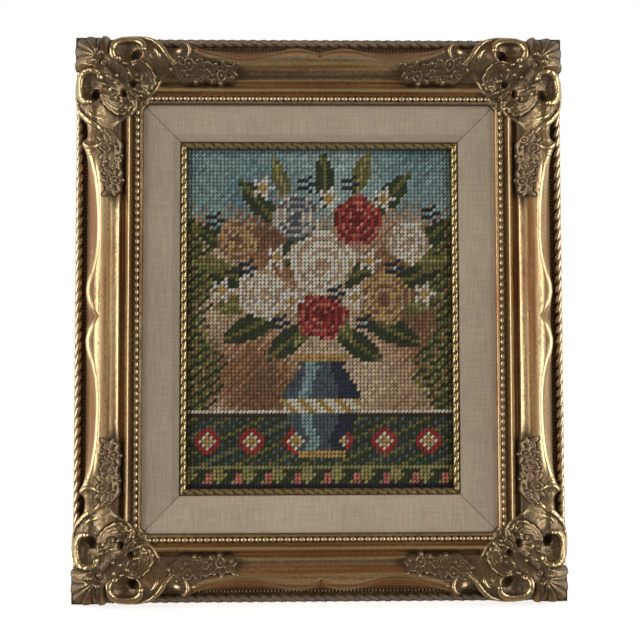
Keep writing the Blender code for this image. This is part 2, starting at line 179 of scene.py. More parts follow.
def on_side(points: np.ndarray, side: Side) -> np.ndarray:
    """Puts points that run along a side, from its middle, on the frame."""
    spots = {
        Side.TOP: (0.0, FRAME_HEIGHT / 2),
        Side.RIGHT: (FRAME_WIDTH / 2, 0.0),
        Side.BOTTOM: (0.0, -FRAME_HEIGHT / 2),
        Side.LEFT: (-FRAME_WIDTH / 2, 0.0),
    }
    return turned(points, side.value, spots[side])


def on_corner(points: np.ndarray, corner: Corner) -> np.ndarray:
    """Puts points that start from a corner's outer tip on the frame."""
    right = corner in (Corner.TOP_RIGHT, Corner.BOTTOM_RIGHT)
    top = corner in (Corner.TOP_LEFT, Corner.TOP_RIGHT)
    where = (FRAME_WIDTH / 2 * (1 if right else -1), FRAME_HEIGHT / 2 * (1 if top else -1))
    return turned(points, corner.value, where)


# Node trees.


class Wire:
    """The value at a socket, for use in Python sums."""

    def __init__(self, bench: NodeBench, socket: bpy.types.NodeSocket) -> None:
        """Keeps the tree's bench and the socket."""
        self.bench = bench
        self.socket = socket

    def maths(self, operation: str, other: Operand, swapped: bool = False) -> Wire:
        """Adds a Math node for this value and another.

        Args:
            operation: The Math node's operation.
            other: A number or another wire.
            swapped: Whether the other comes first.

        Returns:
            The node's value.
        """
        pair = (other, self) if swapped else (self, other)
        return self.bench.node("ShaderNodeMath", {"operation": operation}, dict(enumerate(pair)))

    def __add__(self, other: Operand) -> Wire:
        """The sum."""
        return self.maths("ADD", other)

    __radd__ = __add__

    def __sub__(self, other: Operand) -> Wire:
        """The difference."""
        return self.maths("SUBTRACT", other)

    def __rsub__(self, other: Operand) -> Wire:
        """The difference, with this value taken away."""
        return self.maths("SUBTRACT", other, swapped=True)

    def __mul__(self, other: Operand) -> Wire:
        """The product."""
        return self.maths("MULTIPLY", other)

    __rmul__ = __mul__

    def sine(self) -> Wire:
        """The sine."""
        return self.bench.node("ShaderNodeMath", {"operation": "SINE"}, {0: self})

    def cosine(self) -> Wire:
        """The cosine."""
        return self.bench.node("ShaderNodeMath", {"operation": "COSINE"}, {0: self})

    def eased(self, low: float, high: float) -> Wire:
        """A smooth step from 0 at low to 1 at high."""
        settings = {"interpolation_type": "SMOOTHSTEP"}
        return self.bench.node("ShaderNodeMapRange", settings, {0: self, 1: low, 2: high})

    def other(self, name: str) -> Wire:
        """Another output of the same node."""
        return Wire(self.bench, self.socket.node.outputs[name])


Operand = Union[Wire, float]


class NodeBench:
    """Adds nodes to one tree."""

    MIX_COLOURS: ClassVar[tuple[int, int]] = (6, 7)
    MIX_RESULT: ClassVar[int] = 2

    def __init__(self, tree: bpy.types.NodeTree) -> None:
        """Keeps the tree."""
        self.tree = tree

    def node(
        self,
        kind: str,
        settings: Mapping[str, object] | None = None,
        sockets: Mapping[Union[int, str], object] | None = None,
        out: Union[int, str] = 0,
    ) -> Wire | None:
        """Adds a node.

        Args:
            kind: The node's type.
            settings: Its own settings, such as its operation, which are set before its sockets.
            sockets: A value, a wire or a list of wires for each input, by number or name.
            out: The output that is handed back.

        Returns:
            The wire at that output, or None where the node has no outputs.
        """
        made = self.tree.nodes.new(kind)
        for name, value in (settings or {}).items():
            setattr(made, name, value)
        for key, value in (sockets or {}).items():
            socket = made.inputs[key]
            if isinstance(value, Wire):
                self.tree.links.new(value.socket, socket)
            elif isinstance(value, list):
                for wire in value:
                    self.tree.links.new(wire.socket, socket)
            else:
                socket.default_value = value
        return Wire(self, made.outputs[out]) if made.outputs else None

    def mixed(self, share: Operand, first: object, second: object) -> Wire:
        """Mixes two colours.

        Args:
            share: How much of the second shows.
            first: A colour or a wire.
            second: A colour or a wire.

        Returns:
            The mixed colour.
        """
        sockets = {0: share}
        for slot, value in zip(self.MIX_COLOURS, (first, second)):
            sockets[slot] = value if isinstance(value, Wire) else (*value, 1.0)
        return self.node("ShaderNodeMix", {"data_type": "RGBA"}, sockets, out=self.MIX_RESULT)

    def place(self) -> Wire:
        """Each point's place on the piece, in metres."""
        return self.node("ShaderNodeTexCoord", out="Object")

    def run(self) -> Wire:
        """Each point's place along and across the piece, from its UV map."""
        return self.node("ShaderNodeUVMap", {"uv_map": "UVMap"})

    def attribute(self, name: str, out: str = "Fac") -> Wire:
        """Reads one of the piece's own attributes."""
        return self.node("ShaderNodeAttribute", {"attribute_name": name}, out=out)

    def split(self, place: Wire) -> Wire:
        """The first part of a place, whose other outputs are the rest."""
        return self.node("ShaderNodeSeparateXYZ", None, {0: place}, out="X")

    def noise(self, where: Wire, scale: float | tuple[float, ...], detail: float = 2.0) -> Wire:
        """Noise from 0 to 1.

        Args:
            where: The place that it is read at.
            scale: Features to the metre, one number or one for each axis.
            detail: How much finer noise is laid over it.

        Returns:
            The noise.
        """
        if isinstance(scale, tuple):
            where = self.node("ShaderNodeMapping", None, {"Vector": where, "Scale": scale})
            scale = 1.0
        return self.node("ShaderNodeTexNoise", None, {"Vector": where, "Scale": scale, "Detail": detail})

    def swing(self, where: Wire, scale: float | tuple[float, ...], detail: float = 2.0) -> Wire:
        """The same noise, from -0.5 to 0.5."""
        return self.noise(where, scale, detail) - 0.5

    def bump(self, height: Wire, strength: float, distance: float) -> Wire:
        """The normal over a height."""
        sockets = {"Height": height, "Strength": strength, "Distance": distance}
        return self.node("ShaderNodeBump", None, sockets)

    def surface(self, sockets: Mapping[str, object]) -> None:
        """Ends a material in a Principled shader with these sockets."""
        shader = self.node("ShaderNodeBsdfPrincipled", None, sockets)
        self.node("ShaderNodeOutputMaterial", None, {"Surface": shader})


def fresh_material(name: str) -> tuple[bpy.types.Material, NodeBench]:
    """An empty material and the bench of its tree."""
    made = bpy.data.materials.new(name)
    made.use_nodes = True
    made.node_tree.nodes.clear()
    return made, NodeBench(made.node_tree)


# Finishes.


@dataclass(frozen=True)
class Finish:
    """A material with a name, whose nodes each kind of finish lays in its own way."""

    name: str

    def paint(self, bench: NodeBench) -> None:
        """Lays the finish's nodes."""
        raise NotImplementedError

    def made(self) -> bpy.types.Material:
        """The material."""
        material, bench = fresh_material(self.name)
        self.paint(bench)
        return material


@dataclass(frozen=True)
class AntiqueGilt(Finish):
    """Metal leaf rubbed bright on what stands up, over red bole, with patina in the hollows and painted
    shade.
    """

    bright: Colour = (0.80, 0.59, 0.32)
    bronze: Colour = (0.43, 0.275, 0.14)
    bole: Colour = (0.42, 0.19, 0.095)
    umber: Colour = (0.075, 0.045, 0.024)
    gloss: float = 0.31
    streaks: float = 0.0
    wear: float = 0.5
    crest: float = 2.6
    metal: float = 0.88
    # How far the patina and the painted shade take the leaf towards umber.
    soil: float = 0.88

    def paint(self, bench: NodeBench) -> None:
        """Lays leaf over bole, rubs it, and tones it with umber for patina and for painted shade."""
        place = bench.place()
        hollow, grime = bench.attribute("hollow"), bench.attribute("grime")
        cloud = bench.swing(place, 48.0, 3.0)
        fleck = bench.swing(place, 430.0)
        grain = bench.swing(place, 2100.0)
        worn = fleck * 0.9 + cloud * 0.9 - hollow * self.crest + self.wear + bench.attribute("burnish") * 0.6
        height = fleck * 0.5 + grain * 0.35
        if self.streaks:
            run = bench.run()
            streak = bench.swing(run, (9.0, 640.0, 1.0), 3.0)
            sand = bench.swing(run, (420.0, 1100.0, 1.0))
            worn = worn + streak * (self.streaks * 3.6) + sand * (self.streaks * 1.5)
            height = height + streak * self.streaks * 1.3 + sand * 0.5
        # The rubbing read here is real wear through to the bole, plus a painted tone for each rail's side
        # light.
        rubbed = bench.attribute("rubbed")
        worn = (worn - rubbed * 0.3).eased(0.1, 0.95)
        # Darkening towards umber: patina in the hollows, plus the painted shade that the pieces write to
        # their points.
        dirt_and_shade = (grime + hollow * 0.8 + fleck * 0.5 + cloud * 0.3).eased(0.22, 0.85)
        drift = bench.swing(place, 22.0)
        red = (cloud * 0.9 + drift * 1.6 + fleck * 0.7 + hollow + rubbed * 1.1 + 0.2).eased(0.2, 0.9)
        red = red * (1 - worn * 0.42)
        colour = bench.mixed(worn, self.bronze, self.bright)
        colour = bench.mixed(red * 0.84, colour, self.bole)
        colour = bench.mixed(dirt_and_shade * self.soil, colour, self.umber)
        bench.surface(
            {
                "Base Color": colour,
                "Metallic": self.metal - dirt_and_shade * 0.5 - red * 0.1,
                "Roughness": self.gloss + (1 - worn) * 0.12 + dirt_and_shade * 0.34 + grain * 0.16,
                "Normal": bench.bump(height, 0.35, 0.00022),
            }
        )


# The gilts, from the one on the rails to the one on the fillet.
GILTS = (
    AntiqueGilt(
        "gilt_rail",
        bright=(0.86, 0.66, 0.38),
        bole=(0.425, 0.195, 0.072),
        gloss=0.35,
        streaks=0.8,
        wear=0.68,
    ),
    AntiqueGilt(
        "gilt_small",
        bright=(0.84, 0.68, 0.44),
        gloss=0.32,
        wear=0.62,
        metal=0.76,
    ),
    AntiqueGilt(
        "gilt_rope",
        bright=(0.84, 0.68, 0.46),
        umber=(0.045, 0.03, 0.017),
        gloss=0.34,
        wear=0.75,
        metal=0.84,
        soil=1.0,
    ),
    # The rope's gilt made darker and duller for the top and bottom sides: painted shade, as little light
    # falls there.
    AntiqueGilt(
        "gilt_dusty",
        bright=(0.46, 0.37, 0.27),
        bronze=(0.29, 0.22, 0.16),
        bole=(0.24, 0.165, 0.12),
        umber=(0.115, 0.085, 0.062),
        gloss=0.42,
        metal=0.45,
        soil=1.0,
    ),
    AntiqueGilt(
        "gilt_cast",
        bright=(0.76, 0.58, 0.32),
        bronze=(0.27, 0.195, 0.117),
        bole=(0.24, 0.12, 0.06),
        gloss=0.29,
        wear=0.08,
        crest=2.8,
    ),
    AntiqueGilt(
        "gilt_spray",
        bright=(0.72, 0.575, 0.375),
        bronze=(0.27, 0.195, 0.122),
        bole=(0.22, 0.14, 0.09),
        gloss=0.33,
        wear=0.04,
        crest=2.9,
        metal=0.82,
    ),
    AntiqueGilt(
        "fillet_gold",
        bright=(0.74, 0.59, 0.29),
        bronze=(0.34, 0.255, 0.105),
        bole=(0.22, 0.15, 0.06),
        gloss=0.25,
        wear=0.1,
    ),
)


@dataclass(frozen=True)
class Linen(Finish):
    """Natural linen with slubs that run up and down on every side."""

    name: str = "linen"
    light: Colour = (0.79, 0.69, 0.555)
    dark: Colour = (0.495, 0.415, 0.317)
    # The dark that the mitre joints and the painted shade take the linen towards.
    soot: Colour = (0.05, 0.035, 0.022)
    pitch: float = 0.00046

    def paint(self, bench: NodeBench) -> None:
        """Weaves warp and weft, with slubs both ways."""
        place = bench.place()
        spot = bench.split(place)
        turn = 2 * math.pi / self.pitch
        drift = bench.noise(place, 160.0) * 1.6
        warp = (spot * turn + drift * 2.0).sine()
        weft = (spot.other("Z") * turn + drift * 2.0).sine()
        slub = bench.swing(place, (950.0, 0.0, 60.0), 3.0)
        cross = bench.swing(place, (60.0, 0.0, 850.0))
        cloud = bench.swing(place, 26.0)
        # Darker at the mitre joints, and with painted shade under the frame's lip, on the inner bevel and by
        # side.
        grime = bench.attribute("grime")
        tone = slub * 0.95 + cross * 0.6 + cloud * 0.4 + (warp + weft) * 0.06 + 0.5
        colour = bench.mixed(tone.eased(0.0, 1.0), self.dark, self.light)
        height = warp * 0.25 + weft * 0.25 + slub * 1.2 + cross * 0.6
        bench.surface(
            {
                "Base Color": bench.mixed(grime * 0.85, colour, self.soot),
                "Roughness": 0.94 - slub * 0.1,
                "Specular IOR Level": 0.18,
                "Sheen Weight": 0.12,
                "Normal": bench.bump(height, 0.4, 0.00012),
            }
        )


@dataclass(frozen=True)
class Wool(Finish):
    """Soft tapestry wool in the colour that each stitch carries."""

    name: str = "wool"

    def paint(self, bench: NodeBench) -> None:
        """Darkens each stitch's own colour between its fibres, and paints shade in its hollows and low at its
        sides.
        """
        place = bench.place()
        wool = bench.attribute("wool", out="Color")
        fuzz = bench.swing(place, 2600.0)
        strand = bench.swing(place, (1500.0, 1500.0, 700.0))
        shade = (fuzz * 0.8 + strand * 1.2 + 0.5).eased(0.0, 1.0)
        colour = bench.mixed(shade * 0.26, wool, (0.0, 0.0, 0.0))
        # Painted shade in the hollows between the stitches, and low down each stitch's sides.
        hollow = bench.attribute("hollow")
        colour = bench.mixed(hollow.eased(0.0, 0.8) * 0.3, colour, (0.01, 0.01, 0.012))
        low = bench.attribute("low")
        colour = bench.mixed(low.eased(0.3, 1.0) * 0.62, colour, (0.008, 0.008, 0.009))
        bench.surface(
            {
                "Base Color": colour,
                "Roughness": 0.92 + fuzz * 0.1,
                "Specular IOR Level": 0.12,
                "Sheen Weight": 0.25,
                "Normal": bench.bump(fuzz + strand, 0.5, 0.0002),
            }
        )


@dataclass(frozen=True)
class Canvas(Finish):
    """Cotton canvas, an open weave of double threads, painted near black as the shade between the stitches.
    """

    name: str = "canvas"
    thread: Colour = (0.11, 0.092, 0.066)
    hole: Colour = (0.012, 0.010, 0.008)
    pitch: float = 0.00254

    def paint(self, bench: NodeBench) -> None:
        """Opens a hole at each crossing of the rows."""
        place = bench.place()
        spot = bench.split(place)
        turn = 2 * math.pi / self.pitch
        rows = (spot * turn).cosine() + (spot.other("Z") * turn).cosine()
        hole = rows.eased(0.9, 1.5)
        fuzz = bench.swing(place, 1800.0)
        # Threads and holes near black: painted shade in the gaps between the stitches.
        colour = bench.mixed(hole, self.thread, self.hole)
        bench.surface(
            {
                "Base Color": bench.mixed(fuzz * 0.5 + 0.25, colour, self.hole),
                "Roughness": 0.93 + fuzz * 0.08,
                "Normal": bench.bump(fuzz * 0.3 - hole, 0.6, 0.0003),
            }
        )


@dataclass(frozen=True)
class BareWood(Finish):
    """Pale timber, left bare where the frame meets the wall."""

    name: str = "bare_wood"
    light: Colour = (0.50, 0.35, 0.20)
    dark: Colour = (0.32, 0.20, 0.10)

    def paint(self, bench: NodeBench) -> None:
        """Draws the grain and the pores along each length."""
        run = bench.run()
        grain = bench.noise(run, (9.0, 420.0, 1.0), 4.0)
        pore = bench.noise(run, (60.0, 2600.0, 1.0))
        colour = bench.mixed(grain.eased(0.3, 0.72), self.light, self.dark)
        colour = bench.mixed(pore.eased(0.55, 0.8) * 0.4, colour, self.dark)
        bench.surface(
            {
                "Base Color": colour,
                "Roughness": 0.72 + pore * 0.15,
                "Normal": bench.bump(grain + pore * 0.5, 0.25, 0.0002),
            }
        )


# Meshes.


def eased(value: Numbers, low: float, high: float) -> Numbers:
    """A smooth step from 0 at low to 1 at high."""
    share = np.clip((value - low) / (high - low), 0.0, 1.0)
    return share * share * (3 - 2 * share)


def bell(away: Numbers, width: Numbers) -> Numbers:
    """A bump of 1 at no distance, which fades out over this width."""
    return np.exp(-((away / width) ** 2))


def net(rows: int, columns: int, closed: bool = False) -> np.ndarray:
    """The faces between the points of a net.

    Args:
        rows: Rows of points, running inward.
        columns: Points to a row, running along.
        closed: Whether the last row meets the first.

    Returns:
        Four point numbers to a face, turned so that the front faces out.
    """
    below = np.arange(rows if closed else rows - 1)[:, None] * columns
    above = (below + columns) % (rows * columns)
    step = np.arange(columns - 1)[None, :]
    faces = np.stack([below + step, above + step, above + step + 1, below + step + 1], axis=-1)
    return faces.reshape(-1, 4)


def tube(rows: int, columns: int) -> list[list[int]]:
    """The faces of a net whose last row meets the first, with both its ends capped."""
    start, end = ([row * columns + place for row in range(rows)] for place in (0, columns - 1))
    return [*net(rows, columns, closed=True).tolist(), start[::-1], end]


def write_numbers(mesh: bpy.types.Mesh, name: str, numbers: np.ndarray) -> None:
    """Writes a number for each point of a mesh as one of its attributes."""
    layer = mesh.attributes.get(name) or mesh.attributes.new(name, "FLOAT", "POINT")
    layer.data.foreach_set("value", np.asarray(numbers, np.float32))


def bare_rows(mesh: bpy.types.Mesh, first: int, last: int, columns: int) -> None:
    """Gives a tube's faces its second material, from one row of points up to another."""
    bare = np.zeros(len(mesh.polygons), np.int32)
    bare[first * (columns - 1) : last * (columns - 1)] = 1
    mesh.polygons.foreach_set("material_index", bare)


def mesh_from(
    name: str,
    points: np.ndarray,
    faces: Iterable[Sequence[int]],
    values: Mapping[str, np.ndarray] | None = None,
    run: np.ndarray | None = None,
) -> bpy.types.Mesh:
    """Makes a smooth mesh.

    Args:
        name: The mesh's name.
        points: The points in metres.
        faces: The point numbers of each face.
        values: Numbers for each point, by attribute name.
        run: The place of each point along and across its length in metres, for a UV map.

    Returns:
        The mesh.
    """
    mesh = bpy.data.meshes.new(name)
    mesh.from_pydata(points.tolist(), [], [list(map(int, face)) for face in faces])
    for key, numbers in (values or {}).items():
        write_numbers(mesh, key, numbers)
    if run is not None:
        corner = np.zeros(len(mesh.loops), np.int32)
        mesh.loops.foreach_get("vertex_index", corner)
        layer = mesh.uv_layers.new(name="UVMap")
        layer.data.foreach_set("uv", run[corner].astype(np.float32).ravel())
    mesh.shade_smooth()
    mesh.update()
    return mesh


def points_of(mesh: bpy.types.Mesh) -> np.ndarray:
    """A mesh's points."""
    spots = np.zeros(len(mesh.vertices) * 3, np.float32)
    mesh.vertices.foreach_get("co", spots)
    return spots.reshape(-1, 3).astype(float)


def set_down(mesh: bpy.types.Mesh, side: Side, inward: float, height: float) -> None:
    """Moves a mesh that runs along X through the zero point to its place on a side."""
    spots = points_of(mesh) / MM
    local = np.stack([spots[:, 0], inward - spots[:, 2], height - spots[:, 1]], axis=1)
    mesh.vertices.foreach_set("co", on_side(local, side).astype(np.float32).ravel())
    mesh.update()


def trimmed(
    points: np.ndarray, faces: np.ndarray, values: Mapping[str, np.ndarray]
) -> tuple[np.ndarray, np.ndarray, dict[str, np.ndarray]]:
    """Leaves out the points that no face uses.

    Args:
        points: The points.
        faces: The point numbers of each face.
        values: Numbers for each point, by attribute name.

    Returns:
        The same three, for the points that are left.
    """
    used = np.unique(faces)
    number = np.zeros(len(points), int)
    number[used] = np.arange(len(used))
    return points[used], number[faces], {name: row[used] for name, row in values.items()}


def mark_hollows(mesh: bpy.types.Mesh, rounds: int = 2) -> None:
    """Writes how far each point of a mesh lies in a hollow, below 0 where it stands proud.

    Args:
        mesh: The finished mesh, with its faces turned out.
        rounds: How many times the numbers are evened out with their neighbours'.
    """
    count = len(mesh.vertices)
    spots = points_of(mesh)
    normals = np.zeros(count * 3, np.float32)
    mesh.vertices.foreach_get("normal", normals)
    normals = normals.reshape(-1, 3)
    ends = np.zeros(len(mesh.edges) * 2, np.int32)
    mesh.edges.foreach_get("vertices", ends)
    first, second = ends.reshape(-1, 2).T
    step = spots[second] - spots[first]
    long = np.maximum(np.linalg.norm(step, axis=1), 1e-9)
    rise = (normals[first] * step).sum(axis=1) / long
    fall = -(normals[second] * step).sum(axis=1) / long
    total = np.bincount(first, rise, count) + np.bincount(second, fall, count)
    shared = np.maximum(np.bincount(first, minlength=count) + np.bincount(second, minlength=count), 1)
    hollow = total / shared
    for _ in range(rounds):
        near = np.bincount(first, hollow[second], count) + np.bincount(second, hollow[first], count)
        hollow = 0.5 * hollow + 0.5 * near / shared
    write_numbers(mesh, "hollow", hollow)


def joined(name: str, meshes: Sequence[bpy.types.Mesh]) -> bpy.types.Mesh:
    """One mesh of several, with their attributes, UV maps and material slots kept."""
    parts = [bpy.data.objects.new(f"{name}_{i}", mesh) for i, mesh in enumerate(meshes)]
    for part in parts:
        bpy.context.scene.collection.objects.link(part)
    with bpy.context.temp_override(
        active_object=parts[0],
        object=parts[0],
        selected_editable_objects=parts,
        selected_objects=parts,
    ):
        bpy.ops.object.join()
    made = parts[0].data
    bpy.data.objects.remove(parts[0], do_unlink=True)
    made.name = name
    return made


def shown(name: str, mesh: bpy.types.Mesh, nodes: Sequence[str] = ()) -> bpy.types.Object:
    """Puts a finished mesh in the scene as a piece of the object.

    Args:
        name: The piece's name.
        mesh: Its mesh, in the frame's own place.
        nodes: The solids that it stands for.

    Returns:
        The piece.
    """
    made = bpy.data.objects.new(name, mesh)
    bpy.context.scene.collection.objects.link(made)
    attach(made, "root")
    if nodes:
        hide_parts(*nodes)
    mesh.calc_loop_triangles()
    LOG.info("%s: %d triangles", name, len(mesh.loop_triangles))
    return made


def smoothed(knots: Rows, steps: int) -> np.ndarray:
    """Rows read from a smooth curve through the given ones, several to each span."""
    rows = np.array(knots, float)
    rows = np.vstack([2 * rows[0] - rows[1], rows, 2 * rows[-1] - rows[-2]])
    made = []
    for before, start, end, after in zip(rows, rows[1:], rows[2:], rows[3:]):
        for x in np.arange(steps) / steps:
            made.append(
                0.5
                * (
                    2 * start
                    + (end - before) * x
                    + (2 * before - 5 * start + 4 * end - after) * x * x
                    + (3 * start - before - 3 * end + after) * x * x * x
                )
            )
    return np.array([*made, rows[-2]])


class Relief:
    """Raised work over a ground, at points in mm: along, inward and height."""

    def __init__(
        self, along: np.ndarray, inward: np.ndarray, ground: np.ndarray, bare: bool = False
    ) -> None:
        """Keeps the points' places and the ground that the work follows.

        Args:
            along: Each point's place along.
            inward: Each point's place inward.
            ground: The height that every form's lift is counted from.
            bare: Whether nothing stands yet, not even the ground itself.
        """
        self.along = along
        self.inward = inward
        self.ground = ground
        self.height = np.full(ground.shape, ABSENT) if bare else ground.copy()

    def raise_to(self, level: np.ndarray, where: np.ndarray) -> None:
        """Raises the points of a region to a level where they lie lower."""
        self.height = np.where(where, np.maximum(self.height, level), self.height)

    def stroke(self, knots: Rows, groove: float = 0.0, twist: float = 0.0, pitch: float = 2.4) -> None:
        """Lays a round bead along a smooth line.

        Args:
            knots: Along, inward, lift of the bead's top, and radius.
            groove: Depth of a line down the bead's middle.
            twist: Depth of slanting nicks across it.
            pitch: The nicks' spacing.
        """
        line = smoothed(knots, 6)
        run = 0.0
        for start, end in zip(line, line[1:]):
            step = end[:2] - start[:2]
            long = max(float(np.hypot(*step)), 1e-6)
            reach = max(start[3], end[3]) + 0.1
            near = (
                (self.along > min(start[0], end[0]) - reach)
                & (self.along < max(start[0], end[0]) + reach)
                & (self.inward > min(start[1], end[1]) - reach)
                & (self.inward < max(start[1], end[1]) + reach)
            )
            if near.any():
                off_u, off_v = self.along[near] - start[0], self.inward[near] - start[1]
                share = np.clip((off_u * step[0] + off_v * step[1]) / long**2, 0.0, 1.0)
                away = np.hypot(off_u - step[0] * share, off_v - step[1] * share)
                beside = (off_v * step[0] - off_u * step[1]) / long
                radius = start[3] + (end[3] - start[3]) * share
                x = np.clip(away / radius, 0.0, 1.0)
                level = self.ground[near] + start[2] + (end[2] - start[2]) * share
                level += radius * (np.sqrt(1 - x * x) - 1)
                level -= groove * bell(away, 0.3 * radius)
                nick = 2 * np.pi * (run + share * long + beside) / pitch
                level -= twist * (0.5 + 0.5 * np.cos(nick))
                level[x >= 1.0] = ABSENT
                self.height[near] = np.maximum(self.height[near], level)
            run += long

    def turned_off(self, u: float, v: float, turn: float) -> tuple[np.ndarray, np.ndarray]:
        """Each point's place from a middle, along and across a turn in degrees."""
        cos, sin = math.cos(math.radians(turn)), math.sin(math.radians(turn))
        off_u, off_v = self.along - u, self.inward - v
        return off_u * cos + off_v * sin, off_v * cos - off_u * sin

    def spot(self, u: float, v: float, half_u: float, half_v: float, turn: float = 0.0) -> np.ndarray:
        """How far out each point lies in a turned ellipse, 1 at its edge."""
        along, aside = self.turned_off(u, v, turn)
        return np.hypot(along / half_u, aside / half_v)

    def dome(
        self, u: float, v: float, lift: float, half_u: float, half_v: float, turn: float = 0.0
    ) -> None:
        """Raises a dome to a lift, over an ellipse with these half sizes."""
        away = self.spot(u, v, half_u, half_v, turn)
        deep = min(half_u, half_v)
        level = self.ground + lift + deep * (np.sqrt(np.clip(1 - away**2, 0.0, 1.0)) - 1)
        self.raise_to(level, away < 1.0)

    def bowl(self, u: float, v: float, depth: float, half_u: float, half_v: float) -> None:
        """Sinks a bowl of this depth."""
        away = np.clip(self.spot(u, v, half_u, half_v), 0.0, 1.0)
        self.height = self.height - depth * (1 - away**2) ** 1.5

    def flower(self, u: float, v: float, lift: float, radius: float, turn: float) -> None:
        """Raises a cupped flower of five petals with a bead in its middle."""
        away = self.spot(u, v, radius, radius)
        angle = np.arctan2(self.inward - v, self.along - u) - math.radians(turn)
        lobe = np.abs(np.cos(PETALS * angle / 2)) ** 0.7
        edge = 0.93 + 0.07 * lobe
        rim = bell(away / edge - 0.76, 0.17) * (0.55 + 0.45 * lobe)
        self.raise_to(self.ground + lift - radius * 0.38 + radius * 0.38 * rim, away < edge)
        self.dome(u, v, lift - 0.06 * radius, radius * 0.27, radius * 0.27)

    def leaf(self, u: float, v: float, lift: float, half_u: float, half_v: float, turn: float) -> None:
        """Raises a full leaf with a midrib, pointed at both ends."""
        along, aside = self.turned_off(u, v, turn)
        run = along / half_u
        side = np.abs(aside) / half_v
        edge = np.clip(1 - run**2, 0.0, 1.0) ** 0.75
        x = np.clip(side / np.maximum(edge, 1e-6), 0.0, 1.0)
        level = self.ground + lift - half_v * 0.62 * x**2 - 0.2 * bell(side * half_v, 0.34) - 0.45 * run**2
        self.raise_to(level, (np.abs(run) < 1) & (side < edge))


def evened(values: np.ndarray, rounds: int) -> np.ndarray:
    """A table of numbers evened out with its neighbours so many times."""
    for _ in range(rounds):
        wide = np.pad(values, 1, mode="edge")
        beside = (wide[:-2, 1:-1], wide[2:, 1:-1], wide[1:-1, :-2], wide[1:-1, 2:])
        values = sum(beside, wide[1:-1, 1:-1] * 2) / 6
    return values


# Repeated pieces.


class TreeInput(Enum):
    """The kinds of input that a tree of geometry takes."""

    NUMBER = "NodeSocketFloat"
    WHOLE = "NodeSocketInt"
    OBJECT = "NodeSocketObject"
    MATERIAL = "NodeSocketMaterial"


@dataclass
class Repeater:
    """A tree of Geometry Nodes that makes one kind of repeated work."""

    name: str
    inputs: Mapping[str, TreeInput]
    tree: bpy.types.NodeTree = field(init=False)
    bench: NodeBench = field(init=False)
    start: Wire = field(init=False)

    def __post_init__(self) -> None:
        """Makes the tree's ends."""
        self.tree = bpy.data.node_groups.new(self.name, "GeometryNodeTree")
        self.tree.interface.new_socket("Geometry", in_out="INPUT", socket_type="NodeSocketGeometry")
        self.tree.interface.new_socket("Geometry", in_out="OUTPUT", socket_type="NodeSocketGeometry")
        for label, kind in self.inputs.items():
            self.tree.interface.new_socket(label, in_out="INPUT", socket_type=kind.value)
        self.bench = NodeBench(self.tree)
        self.start = self.bench.node("NodeGroupInput")

    def end(self, shape: Wire) -> None:
        """Makes instances real, gives them the material, and ends the tree."""
        real = self.bench.node("GeometryNodeRealizeInstances", None, {0: shape})
        sockets = {"Geometry": real, "Material": self.start.other("Material")}
        done = self.bench.node("GeometryNodeSetMaterial", None, sockets)
        self.bench.node("NodeGroupOutput", None, {0: done})

    def piece(self, name: str) -> Wire:
        """The shape of the object that is given to an input."""
        sockets = {"Object": self.start.other(name)}
        return self.bench.node("GeometryNodeObjectInfo", None, sockets, out="Geometry")

    def run(self, mesh: bpy.types.Mesh, settings: Mapping[str, object]) -> bpy.types.Mesh:
        """Runs the tree over a mesh.

        Args:
            mesh: What the tree starts from.
            settings: The inputs' values, by name.

        Returns:
            The result as a plain mesh.
        """
        item = bpy.data.objects.new(f"{self.name}_run", mesh)
        bpy.context.scene.collection.objects.link(item)
        step = item.modifiers.new(self.name, "NODES")
        step.node_group = self.tree
        for socket in self.tree.interface.items_tree:
            if socket.in_out == "INPUT" and socket.name in settings:
                step[socket.identifier] = settings[socket.name]
        bpy.context.view_layer.update()
        graph = bpy.context.evaluated_depsgraph_get()
        made = bpy.data.meshes.new_from_object(item.evaluated_get(graph))
        item.modifiers.remove(step)
        bpy.data.objects.remove(item, do_unlink=True)
        return made


ROPE_SIZES = ("Length", "Lay", "Strand Radius", "Helix Radius", "Step")


def rope_maker() -> Repeater:
    """Two strands of twisted yarn round a straight line along X."""
    kinds = dict.fromkeys(ROPE_SIZES, TreeInput.NUMBER)
    made = Repeater("rope", {**kinds, "Material": TreeInput.MATERIAL})
    bench, start = made.bench, made.start
    half = start.other("Length") * 0.5
    ends = [bench.node("ShaderNodeCombineXYZ", None, {0: value}) for value in (half * -1.0, half)]
    line = bench.node("GeometryNodeCurvePrimitiveLine", None, {"Start": ends[0], "End": ends[1]})
    sockets = {"Curve": line, "Length": start.other("Step")}
    line = bench.node("GeometryNodeResampleCurve", {"mode": "LENGTH"}, sockets)
    place = bench.node("GeometryNodeInputPosition")
    along = bench.node("ShaderNodeSeparateXYZ", None, {0: place})
    turn = along.maths("DIVIDE", start.other("Lay")) * (2 * math.pi)
    strands = []
    for phase in (0.0, math.pi):
        angle = turn + phase
        radius = start.other("Helix Radius")
        sockets = {1: angle.cosine() * radius, 2: angle.sine() * radius}
        offset = bench.node("ShaderNodeCombineXYZ", None, sockets)
        path = bench.node("GeometryNodeSetPosition", None, {"Geometry": line, "Offset": offset})
        path = bench.node("GeometryNodeSetCurveTilt", None, {"Curve": path, "Tilt": turn * 1.6})
        outer = start.other("Strand Radius")
        sockets = {"Points": 5, "Inner Radius": outer * 0.86, "Outer Radius": outer}
        star = bench.node("GeometryNodeCurveStar", None, sockets)
        sockets = {"Curve": path, "Profile Curve": star, "Fill Caps": True}
        strands.append(bench.node("GeometryNodeCurveToMesh", None, sockets))
    made.end(bench.node("GeometryNodeJoinGeometry", None, {0: strands}))
    return made


def twisted(rope: Repeater, yarn: bpy.types.Material, sizes: Sequence[float]) -> bpy.types.Mesh:
    """A straight rope in this yarn, whose sizes are in mm and in the order of ROPE_SIZES."""
    settings = {name: size * MM for name, size in zip(ROPE_SIZES, sizes)}
    return rope.run(bpy.data.meshes.new("rope_start"), {**settings, "Material": yarn})


